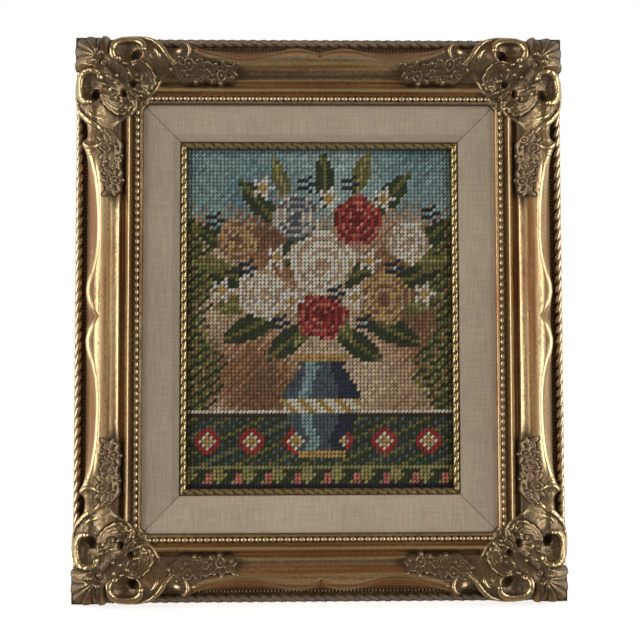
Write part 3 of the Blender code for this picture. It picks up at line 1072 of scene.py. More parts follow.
def row_maker() -> Repeater:
    """A row of one piece at an even spacing along X."""
    kinds = {"Count": TreeInput.WHOLE, "Spacing": TreeInput.NUMBER, "Piece": TreeInput.OBJECT}
    made = Repeater("row", {**kinds, "Material": TreeInput.MATERIAL})
    bench, start = made.bench, made.start
    spacing = start.other("Spacing")
    first = (start.other("Count") - 1.0) * spacing * -0.5
    sockets = {
        "Count": start.other("Count"),
        "Start Location": bench.node("ShaderNodeCombineXYZ", None, {0: first}),
        "Offset": bench.node("ShaderNodeCombineXYZ", None, {0: spacing}),
    }
    line = bench.node("GeometryNodeMeshLine", {"mode": "OFFSET"}, sockets)
    sockets = {"Points": line, "Instance": made.piece("Piece")}
    made.end(bench.node("GeometryNodeInstanceOnPoints", None, sockets))
    return made


def stitch_maker() -> Repeater:
    """One stitch at each point of a mesh, each a little different."""
    kinds = {"Stitch": TreeInput.OBJECT, "Unevenness": TreeInput.NUMBER, "Seed": TreeInput.WHOLE}
    made = Repeater("stitches", {**kinds, "Material": TreeInput.MATERIAL})
    bench, start = made.bench, made.start
    uneven, seed = start.other("Unevenness"), start.other("Seed")
    sockets = {2: uneven * -0.5, 3: uneven * 0.5, "Seed": seed}
    lean = bench.node("FunctionNodeRandomValue", {"data_type": "FLOAT"}, sockets, out=1)
    sockets = {2: 1.0 - uneven * 0.4, 3: 1.0 + uneven * 0.4, "Seed": seed + 7.0}
    size = bench.node("FunctionNodeRandomValue", {"data_type": "FLOAT"}, sockets, out=1)
    sockets = {
        "Points": start.other("Geometry"),
        "Instance": made.piece("Stitch"),
        "Rotation": bench.node("ShaderNodeCombineXYZ", None, {1: lean}),
        "Scale": bench.node("ShaderNodeCombineXYZ", None, {0: size, 1: size, 2: size}),
    }
    made.end(bench.node("GeometryNodeInstanceOnPoints", None, sockets))
    return made


def helper(name: str, mesh: bpy.types.Mesh) -> bpy.types.Object:
    """An object that a tree repeats, and that is removed afterwards."""
    made = bpy.data.objects.new(name, mesh)
    bpy.context.scene.collection.objects.link(made)
    return made


# The frame.


@dataclass
class Moulding:
    """The four rails: rope edge, recess, swept ridge, cove, torus, bead row and sight lip."""

    gilt: bpy.types.Material
    wood: bpy.types.Material
    ridge_start: float = 82.0
    reed_depth: float = 0.16
    reed_pitch: float = 2.3
    slope_points: int = 9
    tilt: float = 0.42
    lobe: float = 17.0
    lobe_width: float = 9.0

    SIGHT: ClassVar[Rows] = (
        (32.4, 18.3), (32.8, 17.6), (33.0, 16.2), (33.15, 14.7), (33.6, 13.8), (34.4, 13.5), (35.1, 13.7),
        (35.5, 14.5), (35.7, 15.4), (36.0, 16.3), (36.6, 17.2), (37.3, 17.9), (38.0, 18.4), (38.6, 18.6),
        (39.15, 18.2), (39.6, 17.1), (39.85, 15.8), (40.1, 14.5), (40.6, 13.8), (41.2, 13.6), (41.6, 14.1),
        (41.8, 14.9), (42.0, 14.3), (42.6, 13.8), (43.7, 13.7), (44.8, 13.8), (45.4, 14.3), (45.7, 15.3),
        (46.1, 15.9), (46.7, 16.1), (47.3, 15.9), (47.8, 15.3), (48.0, 14.6), (48.0, 13.0),
    )
    BACK: ClassVar[Rows] = ((47.9, 12.9), (41.65, 12.9), (41.65, 6.0), (41.65, 0.0), (21.0, 0.0))
    OUTER: ClassVar[Rows] = (
        (0.3, 0.0), (0.3, 3.6), (0.3, 7.0), (0.6, 8.2), (2.4, 8.6), (4.0, 8.0), (5.2, 6.9), (6.8, 6.5),
        (8.1, 6.8),
    )
    LONG_RIM: ClassVar[Rows] = (
        (0.0, 20.6), (2.0, 19.6), (4.0, 18.5), (7.0, 17.0), (10.5, 15.9), (14.0, 15.1), (17.0, 14.9),
        (21.0, 15.2), (25.0, 16.1), (30.0, 17.8), (38.0, 19.6), (46.0, 20.5), (54.0, 20.9), (66.0, 20.9),
        (78.0, 20.4), (86.0, 19.7), (94.0, 18.6), (101.0, 17.1), (106.0, 15.6), (109.0, 14.4),
        (112.0, 12.8), (114.0, 11.6), (116.0, 12.4), (119.0, 14.6), (122.0, 15.0), (127.0, 14.2),
        (134.0, 13.2), (142.0, 13.2),
    )
    SHORT_RIM: ClassVar[Rows] = (
        (0.0, 20.3), (2.0, 19.3), (4.0, 18.2), (7.0, 17.0), (10.5, 16.2), (13.5, 15.7), (16.5, 15.6),
        (20.5, 15.9), (25.0, 17.0), (30.0, 18.4), (36.0, 20.0), (42.0, 21.0), (49.0, 21.4), (57.0, 21.0),
        (65.0, 19.8), (72.0, 18.4), (77.0, 17.0), (82.0, 15.2), (86.0, 13.2), (88.6, 11.6), (90.6, 12.4),
        (93.6, 14.6), (96.6, 15.0), (101.6, 14.2), (108.6, 13.2), (116.0, 13.2),
    )
    RIM: ClassVar[Rows] = (
        (-0.95, -4.0), (-0.78, -3.2), (-0.6, -2.3), (-0.3, -1.5), (0.1, -0.92), (0.75, -0.45), (1.7, 0.0),
    )
    RIDGE: ClassVar[Rows] = (
        (9.0, 34.4), (13.0, 35.0), (15.5, 35.4), (17.5, 35.5), (19.5, 35.1), (21.5, 34.0), (23.4, 32.0),
        (25.2, 29.1), (26.8, 25.9), (28.4, 22.9), (30.0, 20.5), (31.4, 19.1), (32.4, 18.4),
    )
    CORNER: ClassVar[Rows] = (
        (9.0, 27.6), (13.0, 30.2), (17.0, 31.4), (20.4, 30.6), (23.4, 28.0), (26.4, 24.0), (29.2, 20.6),
        (32.4, 18.4),
    )
    # Darkening across the rail: patina in the grooves, and painted shade in the recess by the rope and on the
    # sight lip.
    GRIME: ClassVar[Rows] = (
        (0.0, 0.3), (2.6, 0.6), (4.5, 1.0), (5.6, 1.2), (8.2, 1.2), (9.0, 0.3), (11.5, 0.0), (20.0, 0.0),
        (26.5, 0.04), (28.4, 0.36), (30.8, 0.46), (31.8, 0.3), (32.8, 0.04), (35.5, 0.06), (36.6, 0.14),
        (37.8, 0.14), (39.2, 0.12), (40.0, 0.28), (41.2, 0.34), (43.7, 0.3), (45.0, 0.7), (46.0, 0.72),
        (47.2, 0.8), (48.0, 1.0),
    )
    RUBBED: ClassVar[Rows] = (
        (0.0, 0.1), (8.0, 0.2), (9.5, 0.75), (15.0, 0.6), (20.0, 0.2), (24.0, 0.0), (31.0, 0.1),
        (33.0, 0.25), (36.0, 0.4), (37.6, 0.3), (38.6, 0.0), (40.0, 0.1), (44.6, 0.1), (45.8, 0.5),
        (48.0, 0.6),
    )
    # Tones by side that paint how the light falls on each rail: red on the slope, the crest line and the
    # cove, and shade at the rim, on the cove and on the sight side.
    SLOPE_RED: ClassVar[BySide] = by_side(top=1.2, right=0.3, bottom=1.2, left=0.85)
    LIP_RED: ClassVar[BySide] = by_side(top=1.1, right=0.0, bottom=1.3, left=0.0)
    LIP_DARK: ClassVar[BySide] = by_side(top=0.2, right=0.7, bottom=0.2, left=0.0)
    COVE_DULL: ClassVar[BySide] = by_side(top=0.34, right=0.0, bottom=0.2, left=0.0)
    SIGHT_DULL: ClassVar[BySide] = by_side(top=1.0, right=0.3, bottom=0.9, left=0.8)
    COVE_RED: ClassVar[BySide] = by_side(top=0.2, right=0.6, bottom=1.0, left=0.1)
    CURLS: ClassVar[Sequence[Rows]] = (
        (
            (70.6, 12.6, 0.2, 0.8), (74.6, 11.6, 0.8, 1.0), (79.0, 12.0, 1.1, 1.1), (81.6, 14.4, 1.2, 1.2),
            (82.2, 17.6, 1.2, 1.2), (81.2, 20.8, 1.0, 1.1), (78.6, 23.2, 0.6, 1.0), (75.4, 24.0, 0.2, 0.8),
        ),
        (
            (84.6, 12.0, 0.1, 0.8), (86.2, 14.0, 0.5, 0.9), (86.6, 16.8, 0.6, 1.0), (86.0, 19.2, 0.4, 0.9),
            (84.8, 21.0, 0.1, 0.8),
        ),
    )

    def rim(self, middle: np.ndarray, length: float) -> np.ndarray:
        """How far in the ridge's rim lies, at distances from the middle of a rail of this length."""
        rows = self.LONG_RIM if length > FRAME_WIDTH else self.SHORT_RIM
        return np.interp(middle, *smoothed(rows, 6).T)

    def places(self, length: float) -> np.ndarray:
        """Where the rail is cut into rings, as distances from its middle."""
        half = length / 2 - self.ridge_start
        near = [0.0, 0.35, 0.7, 1.1, 1.6, 2.3, 3.2, 4.4, 5.8, 7.4]
        plain = np.arange(9.4, half - 13.0, 2.0).tolist()
        ends = np.arange(half - 12.5, half + 12.0, 0.5).tolist()
        far = [half + 13.0, half + 16.0, half + 20.0, half + 31.0]
        return np.array([*near, *plain, *ends, *far])

    def ridge_share(self, from_corner: np.ndarray) -> np.ndarray:
        """How much of the ridge's height stands, at distances from the outer corner."""
        return eased(from_corner, self.ridge_start - 15.0, self.ridge_start - 1.0)

    @staticmethod
    def sunk(height: np.ndarray, from_corner: np.ndarray) -> np.ndarray:
        """A height on the plain face, lowered where a corner ornament hides it."""
        return height - (1 - eased(from_corner, 55.0, 62.0)) * np.maximum(height - 10.0, 0.0) * 0.6

    def face(self, t: np.ndarray, blend: np.ndarray) -> np.ndarray:
        """The height of the plain face, from the corners' to the ridge's, at distances inward."""
        rise = [np.interp(t, *smoothed(rows, 8).T) for rows in (self.CORNER, self.RIDGE)]
        return rise[0] + (rise[1] - rise[0]) * blend

    def fold(self, middle: np.ndarray, rim: np.ndarray) -> np.ndarray:
        """Where the ridge's crest runs, a little inward of its rim, and more so at the two lobes."""
        return rim + 2.2 + 1.9 * bell(middle - self.lobe, self.lobe_width)

    def crowned(self, t: np.ndarray, blend: np.ndarray, fold: float, middle: float) -> np.ndarray:
        """The face's height where it also falls outward from the ridge's crest."""
        tilt = self.tilt * (1 - 0.75 * math.exp(-(((middle - self.lobe) / self.lobe_width) ** 2)))
        outer = self.face(np.array(fold), blend) + tilt * (t - fold)
        return np.minimum(self.face(t, blend), outer) - 0.05 * bell(t - fold, 0.35)

    def section(self, middle: float, length: float) -> np.ndarray:
        """The rail's section at a distance from its middle, as rows of inward and height."""
        blend = float(self.ridge_share(np.array(length / 2 - middle)))
        rim = float(self.rim(np.array(middle), length))
        fold = float(self.fold(np.array(middle), np.array(rim)))
        top = float(self.crowned(np.array(rim + 1.7), np.array(blend), fold, middle))
        foot, crest = np.array((9.0, 9.4)), np.array((rim - 1.2, top - 4.5))
        bend = foot + (crest - foot) * (0.4, 0.5)
        share = np.linspace(0, 1, self.slope_points)
        slope = [foot * (1 - x) ** 2 + bend * 2 * x * (1 - x) + crest * x * x for x in share]
        lip = [(rim + t, top + h) for t, h in self.RIM]
        t = np.linspace(rim + 2.1, 32.2, 38)
        reed = np.sin(2 * np.pi * (t - 21.4) / self.reed_pitch)
        reed = reed * eased(t, 25.2, 26.6) * (1 - eased(t, 30.6, 32.0))
        height = self.crowned(t, np.array(blend), fold, middle) + reed * self.reed_depth * blend
        cove = np.stack([t, height], axis=1)
        front = np.vstack([slope, lip, cove])
        front[:, 1] = self.sunk(front[:, 1], np.array(length / 2 - middle))
        return np.vstack([self.OUTER, front, self.SIGHT, self.BACK])

    def rolls(self, points: np.ndarray, length: float) -> np.ndarray:
        """Raises the curled end of the ridge on each half, in place, and says by how much."""
        from_corner = length / 2 - np.abs(points[:, 0])
        front = (points[:, 1] > 9.0) & (points[:, 1] < 31.0) & (points[:, 2] > 8.0)
        work = Relief(from_corner, points[:, 1], points[:, 2])
        work.dome(75.0, 17.4, 1.1, 6.4, 5.4)
        for knots in self.CURLS:
            work.stroke(knots)
        raised = np.where(front, work.height - points[:, 2], 0.0)
        points[:, 2] += raised
        return raised

    def swept(self, length: float) -> np.ndarray:
        """The points of a rail of this length: a row for each point of its section."""
        places = self.places(length)
        half = np.array([self.section(float(x), length) for x in places])
        table = np.concatenate([half[-1:], half[::-1], half[1:], half[-1:]])
        middles = np.concatenate([-places[::-1], places[1:]])
        end = length / 2 - 0.2 - half[-1, :, 0]
        along = np.vstack([-end, np.repeat(middles[:, None], len(end), axis=1), end])
        return np.concatenate([along[..., None], table], axis=2).transpose(1, 0, 2)

    def tones(
        self, side: Side, flat: np.ndarray, curl: np.ndarray, slope: np.ndarray
    ) -> dict[str, np.ndarray]:
        """Where the leaf is toned dark by patina and painted shade, and where it is rubbed through, with
        painted light by side.

        Args:
            side: The rail's side.
            flat: The rail's points.
            curl: How far each point stands on the ridge's curled end.
            slope: Whether each point lies on the slope outside the ridge.

        Returns:
            The grime with painted shade, and the rubbing with painted side light, of each point.
        """
        middle, inward, height = np.abs(flat[:, 0]), flat[:, 1], flat[:, 2]
        half = side.length / 2
        rim = self.rim(middle, side.length)
        outer = 1 - eased(inward, 33.0, 36.0)
        toned = eased(middle, half - 124.0, half - 106.0) * eased(inward - rim, 2.4, 5.0) * outer
        near = eased(middle, half - 90.0, half - 78.0) * outer
        # A red crest line and a red cove band, set by side: painted light.
        line = bell(inward - (rim + self.fold(middle, rim)) / 2, 1.3) * self.LIP_RED[side]
        red = bell(inward - 26.4, 2.2) * self.COVE_RED[side]
        rubbed = np.interp(inward, *np.array(self.RUBBED).T)
        rubbed = np.where(inward < 32.0, rubbed * 0.3 + line + red, rubbed)
        # Less red on the top rail's sight side: painted light.
        rubbed = rubbed * np.where((inward > 33.0) & (side is Side.TOP), 0.4, 1.0) - curl * 0.9
        grime = np.interp(inward, *np.array(self.GRIME).T)
        grime = grime + np.where(height < 9.0, 0.0, np.maximum(toned * 0.62, near * 0.5))
        # Painted shade: a dark line along the rim's outer edge, and on the cove and the sight side, by side.
        edge = bell(inward - rim + 0.1, 0.5) * self.LIP_DARK[side] * (height > 20.0)
        cove = np.where((inward > 12.0) & (inward < 32.0), self.COVE_DULL[side], 0.0)
        grime = grime + edge + line * 0.18 + cove
        grime = grime * (1 - curl * 0.75) * np.where(inward > 44.4, self.SIGHT_DULL[side], 1.0)
        # The short sides get a lighter recess and bead groove: painted light.
        if side.short:
            grime = grime * (1 - 0.6 * (inward < 9.0)) - 0.2 * ((inward > 39.5) & (inward < 44.4))
        # On the slope the rubbing is the red tone set by side: painted light.
        return {"grime": grime, "rubbed": np.where(slope, self.SLOPE_RED[side], rubbed)}

    def rail(self, side: Side) -> bpy.types.Mesh:
        """One rail's mesh."""
        points = self.swept(side.length)
        rows, columns = points.shape[:2]
        flat = points.reshape(-1, 3)
        curl = eased(self.rolls(flat, side.length), 0.5, 1.3)
        row = np.arange(rows).repeat(columns) - len(self.OUTER)
        values = self.tones(side, flat, curl, (row >= 0) & (row < self.slope_points))
        name, spots = f"moulding_{side.label}", on_side(flat, side)
        mesh = mesh_from(name, spots, tube(rows, columns), values, flat[:, :2] * MM)
        mesh.materials.append(self.gilt)
        mesh.materials.append(self.wood)
        bare_rows(mesh, rows - len(self.BACK), rows, columns)
        mesh.set_sharp_from_angle(angle=math.radians(58))
        mark_hollows(mesh)
        return mesh

    def build(self) -> list[bpy.types.Object]:
        """The four rails as pieces."""
        return [shown(f"moulding_{s.label}", self.rail(s), [f"rail_{s.label}"]) for s in Side]


@dataclass
class EdgeRope:
    """The twisted rope on the frame's outer edge, fuller on the short sides and painted darker there as
    shade.
    """

    gilt: bpy.types.Material
    dusty: bpy.types.Material
    rope: Repeater
    start: float = 24.0
    inward: float = 3.2
    height: float = 8.3
    lay: float = 14.4
    strand: float = 1.95
    helix: float = 0.75
    step: float = 0.9
    fuller: float = 1.14

    # How much darker each side's rope is painted, lighter below 0: painted light by side.
    DULL: ClassVar[BySide] = by_side(top=0.34, right=-0.3, bottom=0.34, left=-0.4)

    def length_of(self, side: Side) -> bpy.types.Mesh:
        """The rope of one side."""
        size = self.fuller if side.short else 1.0
        sizes = (side.length - 2 * self.start, self.lay, self.strand * size, self.helix * size, self.step)
        mesh = twisted(self.rope, self.dusty if side.short else self.gilt, sizes)
        spots = points_of(mesh) / MM
        # Painted shade on the rope's back, its inner half and its outer edge, less of it on the short sides;
        # darker in the grooves between strands.
        low = spots[:, 1] > 0.4
        away = np.hypot(spots[:, 1], spots[:, 2]) / (self.strand + self.helix) / size
        sides = 0.8 * eased(-spots[:, 2], -0.5, 1.1) + eased(spots[:, 2], 0.9, 1.7)
        groove = 0.55 * eased(-away, -0.9, -0.78)
        grime = self.DULL[side] + 0.25 * low + (groove + sides) * (0.4 if side.short else 1.0)
        write_numbers(mesh, "grime", grime)
        set_down(mesh, side, self.inward, self.height)
        return mesh

    def build(self) -> list[bpy.types.Object]:
        """The rope of all four sides as one piece."""
        mesh = joined("edge_rope", [self.length_of(side) for side in Side])
        mesh.shade_smooth()
        mark_hollows(mesh, 1)
        return [shown("edge_rope", mesh)]


@dataclass(frozen=True)
class Grain:
    """A small rounded piece, and the row of it along each side."""

    name: str
    half: tuple[float, float, float]
    sides: int
    rings: int
    pitch: float
    start: float
    place: tuple[float, float]
    # How much darker the row is painted on each side: painted light by side.
    dull: BySide
    tilt: float = 0.0

    def mesh(self) -> bpy.types.Mesh:
        """The piece about its own middle in metres, along X, with its height towards -Y."""
        work = bmesh.new()
        bmesh.ops.create_uvsphere(work, u_segments=self.sides, v_segments=self.rings, radius=MM)
        along, across, tall = self.half
        size = Matrix.Diagonal((along, tall, across, 1.0))
        matrix = Matrix.Rotation(math.radians(self.tilt), 4, "X") @ size
        bmesh.ops.transform(work, matrix=matrix, verts=work.verts)
        mesh = bpy.data.meshes.new("grain")
        work.to_mesh(mesh)
        work.free()
        return mesh


@dataclass
class SmallRows:
    """The beads along the sight edge, and the ribs at the foot of the ridge."""

    gilt: bpy.types.Material
    row: Repeater

    GRAINS: ClassVar[Sequence[Grain]] = (
        Grain(
            name="sight_beads",
            half=(2.3, 1.62, 1.5),
            sides=10,
            rings=6,
            pitch=4.93,
            start=49.5,
            place=(43.9, 15.0),
            dull=by_side(top=0.3, right=0.03, bottom=0.36, left=0.02),
        ),
        Grain(
            name="ridge_ribs",
            half=(0.68, 1.6, 1.3),
            sides=8,
            rings=5,
            pitch=2.46,
            start=82.0,
            place=(7.3, 6.7),
            dull=by_side(top=1.2, right=1.2, bottom=0.72, left=1.2),
            tilt=-24.0,
        ),
    )

    def along(self, side: Side, grain: Grain, piece: bpy.types.Object) -> bpy.types.Mesh:
        """One row in its place on a side.

        Args:
            side: The side.
            grain: The row's sizes.
            piece: What is repeated.

        Returns:
            The row's mesh.
        """
        count = int((side.length - 2 * grain.start) / grain.pitch)
        settings = {"Count": count, "Spacing": grain.pitch * MM, "Piece": piece, "Material": self.gilt}
        mesh = self.row.run(bpy.data.meshes.new("row_start"), settings)
        spots = points_of(mesh) / MM
        # Painted shade on each grain's lower and outer half, less of it on the short sides.
        sides = eased(spots[:, 1], -0.8, 0.4) * 0.5 + eased(spots[:, 2], -0.7, 0.8) * 0.8
        write_numbers(mesh, "grime", grain.dull[side] + sides * (0.5 if side.short else 1.0))
        set_down(mesh, side, *grain.place)
        return mesh

    def build(self) -> list[bpy.types.Object]:
        """The beads and the ribs, each as one piece."""
        made = []
        for grain in self.GRAINS:
            piece = helper("grain", grain.mesh())
            rows = [self.along(side, grain, piece) for side in Side]
            bpy.data.objects.remove(piece, do_unlink=True)
            mesh = joined(grain.name, rows)
            mesh.shade_smooth()
            mark_hollows(mesh, 0)
            made.append(shown(grain.name, mesh))
        return made


@dataclass
class CornerOrnament:
    """The cast ornament over a mitre: shell, scrolls, fan leaves, cartouche and sight leaves."""

    gilt: bpy.types.Material
    moulding: Moulding
    spacing: float = 0.42
    reach: float = 80.0
    hinge: float = 20.5
    flute: float = 20.5
    first_flute: float = 4.0
    band: float = 12.4
    fan_place: tuple[float, float] = (45.2, 30.6)
    fan_lobes: int = 17
    tip: float = 23.6

    SWELL: ClassVar[Rows] = (
        (0.0, 8.0), (0.6, 12.0), (2.0, 19.0), (4.0, 23.6), (9.0, 29.0), (14.0, 31.2), (18.0, 31.4),
        (24.0, 28.6), (30.0, 24.0), (35.0, 20.8), (40.0, 19.4), (44.0, 17.8), (48.0, 15.6), (90.0, 10.0),
    )
    OUTLINE: ClassVar[Rows] = (
        (22.0, 22.0), (22.0, 2.4), (23.6, 3.0), (25.0, 5.6), (25.8, 10.0), (27.6, 17.6), (28.6, 10.4),
        (30.2, 6.4), (34.0, 3.6), (40.0, 2.5), (47.0, 2.8), (54.0, 4.6), (60.0, 7.8), (65.0, 12.6),
        (68.8, 18.0), (72.4, 22.6), (77.0, 24.0), (77.6, 27.0), (71.0, 28.0), (65.6, 29.4), (62.0, 31.8),
        (59.4, 36.0), (56.2, 41.0), (51.6, 44.0), (51.6, 47.8),
    )
    SCROLL: ClassVar[Rows] = (
        (33.6, 22.4, 1.4, 1.3), (30.6, 19.8, 1.8, 2.0), (29.5, 15.4, 1.7, 2.4), (30.7, 11.2, 1.8, 2.6),
        (34.6, 8.1, 2.2, 2.6), (40.4, 7.0, 2.6, 2.7), (46.2, 8.0, 2.3, 2.5), (50.0, 10.8, 1.8, 2.2),
        (51.2, 14.4, 1.2, 1.5),
    )
    TAIL: ClassVar[Rows] = (
        (40.0, 4.6, 0.6, 0.8), (47.0, 4.6, 1.0, 1.0), (53.0, 5.9, 1.4, 1.2), (57.8, 8.6, 1.7, 1.5),
        (61.6, 12.0, 1.8, 1.5), (64.8, 16.4, 1.8, 1.5), (67.8, 21.0, 1.6, 1.4), (71.6, 24.8, 1.3, 1.1),
        (76.4, 26.0, 0.8, 0.9),
    )
    FAN: ClassVar[Rows] = (
        (-116.0, 8.2), (-75.0, 8.6), (-43.0, 9.6), (-17.0, 11.0), (3.0, 12.2), (21.0, 12.8), (40.0, 12.6),
        (70.0, 11.2),
    )
    PEARLS: ClassVar[Rows] = (
        (27.3, 41.2, 1.3), (25.8, 32.9, 1.0), (34.1, 47.3, 1.2), (32.3, 31.8, 1.1), (43.5, 25.4, 1.2),
        (51.5, 37.6, 1.1), (51.5, 41.5, 1.3), (46.8, 43.3, 1.0), (30.2, 36.4, 0.9), (40.2, 29.8, 0.9),
        (37.0, 52.2, 1.1), (19.0, 15.2, 1.4),
    )
    KNOBS: ClassVar[Rows] = (
        (24.4, 24.4, 3.0, 2.2), (22.8, 18.0, 2.2, 1.7), (18.0, 22.8, 2.2, 1.7), (38.6, 24.8, 2.8, 1.1),
        (24.8, 38.6, 2.8, 1.1), (33.8, 45.2, 2.0, 1.3), (45.2, 33.8, 2.0, 1.3), (31.4, 31.4, 3.6, 1.4),
        (47.2, 40.8, 1.8, 1.6), (40.8, 47.2, 1.8, 1.6),
    )
    DISHES: ClassVar[Rows] = (
        (40.8, 15.6, 5.6, 10.6, 8.0), (15.6, 40.8, 5.6, 8.0, 10.6),
    )
    HOLES: ClassVar[Rows] = (
        (45.4, 18.2, 4.4, 4.8, 4.0), (18.2, 45.4, 6.4, 3.9, 4.8), (41.8, 35.4, 4.0, 3.2, 2.2),
        (35.4, 41.8, 4.0, 2.2, 3.2),
    )
    ROUGHNESS: ClassVar[Sequence[tuple[int, float]]] = ((14, 0.1), (3, 0.065))

    def rest(self, u: np.ndarray, v: np.ndarray) -> np.ndarray:
        """The height of the plain ground that the ornament is worked on."""
        least, most = np.minimum(u, v), np.maximum(u, v)
        swell = np.interp(least, *smoothed(self.SWELL, 4).T)
        face = self.moulding.face(least, self.moulding.ridge_share(most)) + 0.5
        share = eased(most, 48.0, 60.0)
        return swell * (1 - share) + np.where(least < 16.0, np.minimum(swell, face), face) * share

    def shell_share(self, u: np.ndarray, v: np.ndarray) -> tuple[np.ndarray, np.ndarray]:
        """How far out each point lies on the shell, 1 at its edge, and its angle in degrees."""
        off_u, off_v = self.hinge - u, self.hinge - v
        angle = np.degrees(np.arctan2(off_v, off_u))
        lobe = np.abs(np.cos(np.pi * (angle - self.first_flute) / self.flute))
        full = 19.4 + 5.6 * np.sin(np.radians(2 * np.clip(angle, 0.0, 90.0))) ** 2
        edge = full * (0.965 + 0.05 * lobe**0.6)
        return np.hypot(off_u, off_v) / edge, angle

    def shell(self, work: Relief) -> None:
        """Raises the fluted shell on the outer tip, in place."""
        share, angle = self.shell_share(work.along, work.inward)
        phase = np.pi * (angle - self.first_flute) / self.flute
        lobe = np.abs(np.cos(phase))
        drop = 18.6 + 0.4 * bell(angle - 45.0, 16.0)
        level = 31.2 - drop * share**2.1 + (0.3 + 1.3 * share) * (lobe**1.1 - 0.7)
        tip = (work.along < self.hinge + 1.2) & (work.inward < self.hinge + 1.2)
        tip &= work.along + work.inward < 2 * self.hinge - 3.0
        band = self.band + 0.8 * np.exp(-((np.minimum(work.along, work.inward) - 1.1) ** 2) / 0.5)
        work.height = np.where(tip, np.where(share < 1.0, np.maximum(level, band), band), work.height)

    def scrolls(self, work: Relief) -> None:
        """Raises one arm's scroll, its tail and its curls, in place."""
        work.stroke(self.SCROLL, twist=0.12, pitch=3.4)
        work.stroke(self.TAIL, groove=0.3, twist=0.08, pitch=3.8)
        work.stroke(
            ((57.4, 14.8, 0.2, 0.8), (59.8, 16.4, 0.8, 1.1), (61.2, 19.4, 0.8, 1.1), (61.6, 22.4, 0.2, 0.8))
        )
        work.dome(33.8, 21.8, 2.0, 2.1, 2.0)
        work.dome(51.0, 14.8, 1.6, 1.7, 1.8)
        work.leaf(70.4, 27.4, 1.2, 4.0, 1.2, 12.0)

    def fan(self, work: Relief) -> None:
        """Raises one arm's fan leaf with its three rims and its dished eye, in place."""
        centre_u, centre_v = self.fan_place
        away = work.spot(centre_u, centre_v, 1.0, 1.0)
        angle = np.degrees(np.arctan2(work.inward - centre_v, work.along - centre_u))
        lobe = 0.5 + 0.5 * np.cos(np.radians(angle) * self.fan_lobes)
        reach = np.interp(angle, *np.array(self.FAN).T) * (0.965 + 0.045 * lobe**0.7)
        share = away / reach
        ends = eased(angle, -114.0, -84.0) * (1 - eased(angle, 48.0, 70.0))
        level = work.ground + 0.3 + ends * (0.5 + 0.6 * share**2 + 0.12 * share * (lobe - 0.5))
        for place, tall in ((0.91, 0.6), (0.7, 0.5), (0.5, 0.36)):
            level = level + ends * tall * bell(share - place, 0.075)
        work.raise_to(level, (share < 1.0) & (angle > -114.0) & (angle < 70.0))
        work.bowl(centre_u, centre_v, 2.4, 4.0, 3.5)
        work.dome(centre_u, centre_v, 0.6, 1.6, 1.5)
        work.stroke(
            ((37.6, 25.4, 0.4, 0.8), (39.6, 28.6, 1.0, 1.1), (40.4, 32.2, 1.2, 1.1), (39.2, 35.4, 0.6, 0.9))
        )
        work.dome(37.8, 24.4, 1.8, 1.5, 1.4)
        work.leaf(46.0, 40.2, 1.3, 4.8, 1.7, 24.0)

    def cartouche(self, work: Relief) -> None:
        """Raises what lies on the mitre itself, in place."""
        away = np.abs(work.along - work.inward) / math.sqrt(2)
        down = (work.along + work.inward) / 2
        bulge = 2.6 * np.exp(-((away / 7.0) ** 4)) * (eased(down, 22.0, 27.0) - eased(down, 33.0, 40.0))
        check = np.maximum(np.cos(2 * np.pi * work.along / 1.9), np.cos(2 * np.pi * work.inward / 1.9))
        work.height = work.height + bulge + 0.07 * check * (bulge > 1.0)
        for u, v, lift, radius in self.KNOBS:
            work.dome(u, v, lift, radius, radius)
        work.leaf(42.4, 42.4, 1.4, 4.6, 1.8, 45.0)

    def inside(self, u: np.ndarray, v: np.ndarray) -> np.ndarray:
        """How far each point lies inside the ornament's outline, in mm, below 0 outside it."""
        half = np.array(self.OUTLINE)
        loop = np.vstack([half, half[::-1][:, ::-1]])
        near = np.full(u.shape, 1e9)
        within = np.zeros(u.shape, bool)
        for start, end in zip(loop, np.roll(loop, -1, axis=0)):
            step = end - start
            long = max(float(step @ step), 1e-9)
            off_u, off_v = u - start[0], v - start[1]
            share = np.clip((off_u * step[0] + off_v * step[1]) / long, 0.0, 1.0)
            near = np.minimum(near, np.hypot(off_u - step[0] * share, off_v - step[1] * share))
            if abs(step[1]) > 1e-9:
                crosses = (start[1] > v) != (end[1] > v)
                within ^= crosses & (u < start[0] + (v - start[1]) / step[1] * step[0])
        return np.where(within, near, -near)

    def carved(self, u: np.ndarray, v: np.ndarray) -> tuple[np.ndarray, np.ndarray]:
        """The height of the work at each point, and how far its gilding is burnished."""
        least, most = np.minimum(u, v), np.maximum(u, v)
        work = Relief(u, v, self.rest(u, v))
        for row in self.DISHES:
            work.bowl(*row)
        arm = Relief(u, v, self.rest(u, v), bare=True)
        self.scrolls(arm)
        bright = np.maximum(arm.height, arm.height.T)
        self.fan(arm)
        self.shell(work)
        self.cartouche(work)
        work.height = np.maximum(work.height, np.maximum(arm.height, arm.height.T))
        web = eased(most, 48.0, 56.0) * (1 - eased(most, 70.0, 77.0)) * eased(least, 10.0, 16.0)
        bright = np.maximum(evened((bright >= work.height).astype(float), 2), web * 0.35)
        for row in self.HOLES:
            work.bowl(*row)
        for centre_u, centre_v, half in self.PEARLS:
            pearl = np.sqrt(np.clip(1 - work.spot(centre_u, centre_v, half, half) ** 2, 0.0, 1.0))
            work.height = work.height + half * 0.8 * pearl
            bright = np.maximum(bright, pearl)
        for rounds, tall in self.ROUGHNESS:
            rough = evened(np.random.default_rng(SEED + rounds).normal(0.0, 1.0, u.shape), rounds)
            work.height = work.height + tall * rough / rough.std()
        return work.height, bright

    def under(self, least: np.ndarray, most: np.ndarray) -> np.ndarray:
        """The height of the rails below the ornament, by the nearer and the farther edge."""
        face = self.moulding.sunk(self.moulding.face(least, self.moulding.ridge_share(most)), most)
        slope = np.interp(least, (0.0, 5.0, 8.8, 15.5), (6.5, 6.5, 7.0, 26.0))
        sight = np.interp(least, *np.array(self.moulding.SIGHT).T)
        return np.where(least > SIGHT_START, sight, np.where(least < 15.5, slope, face))

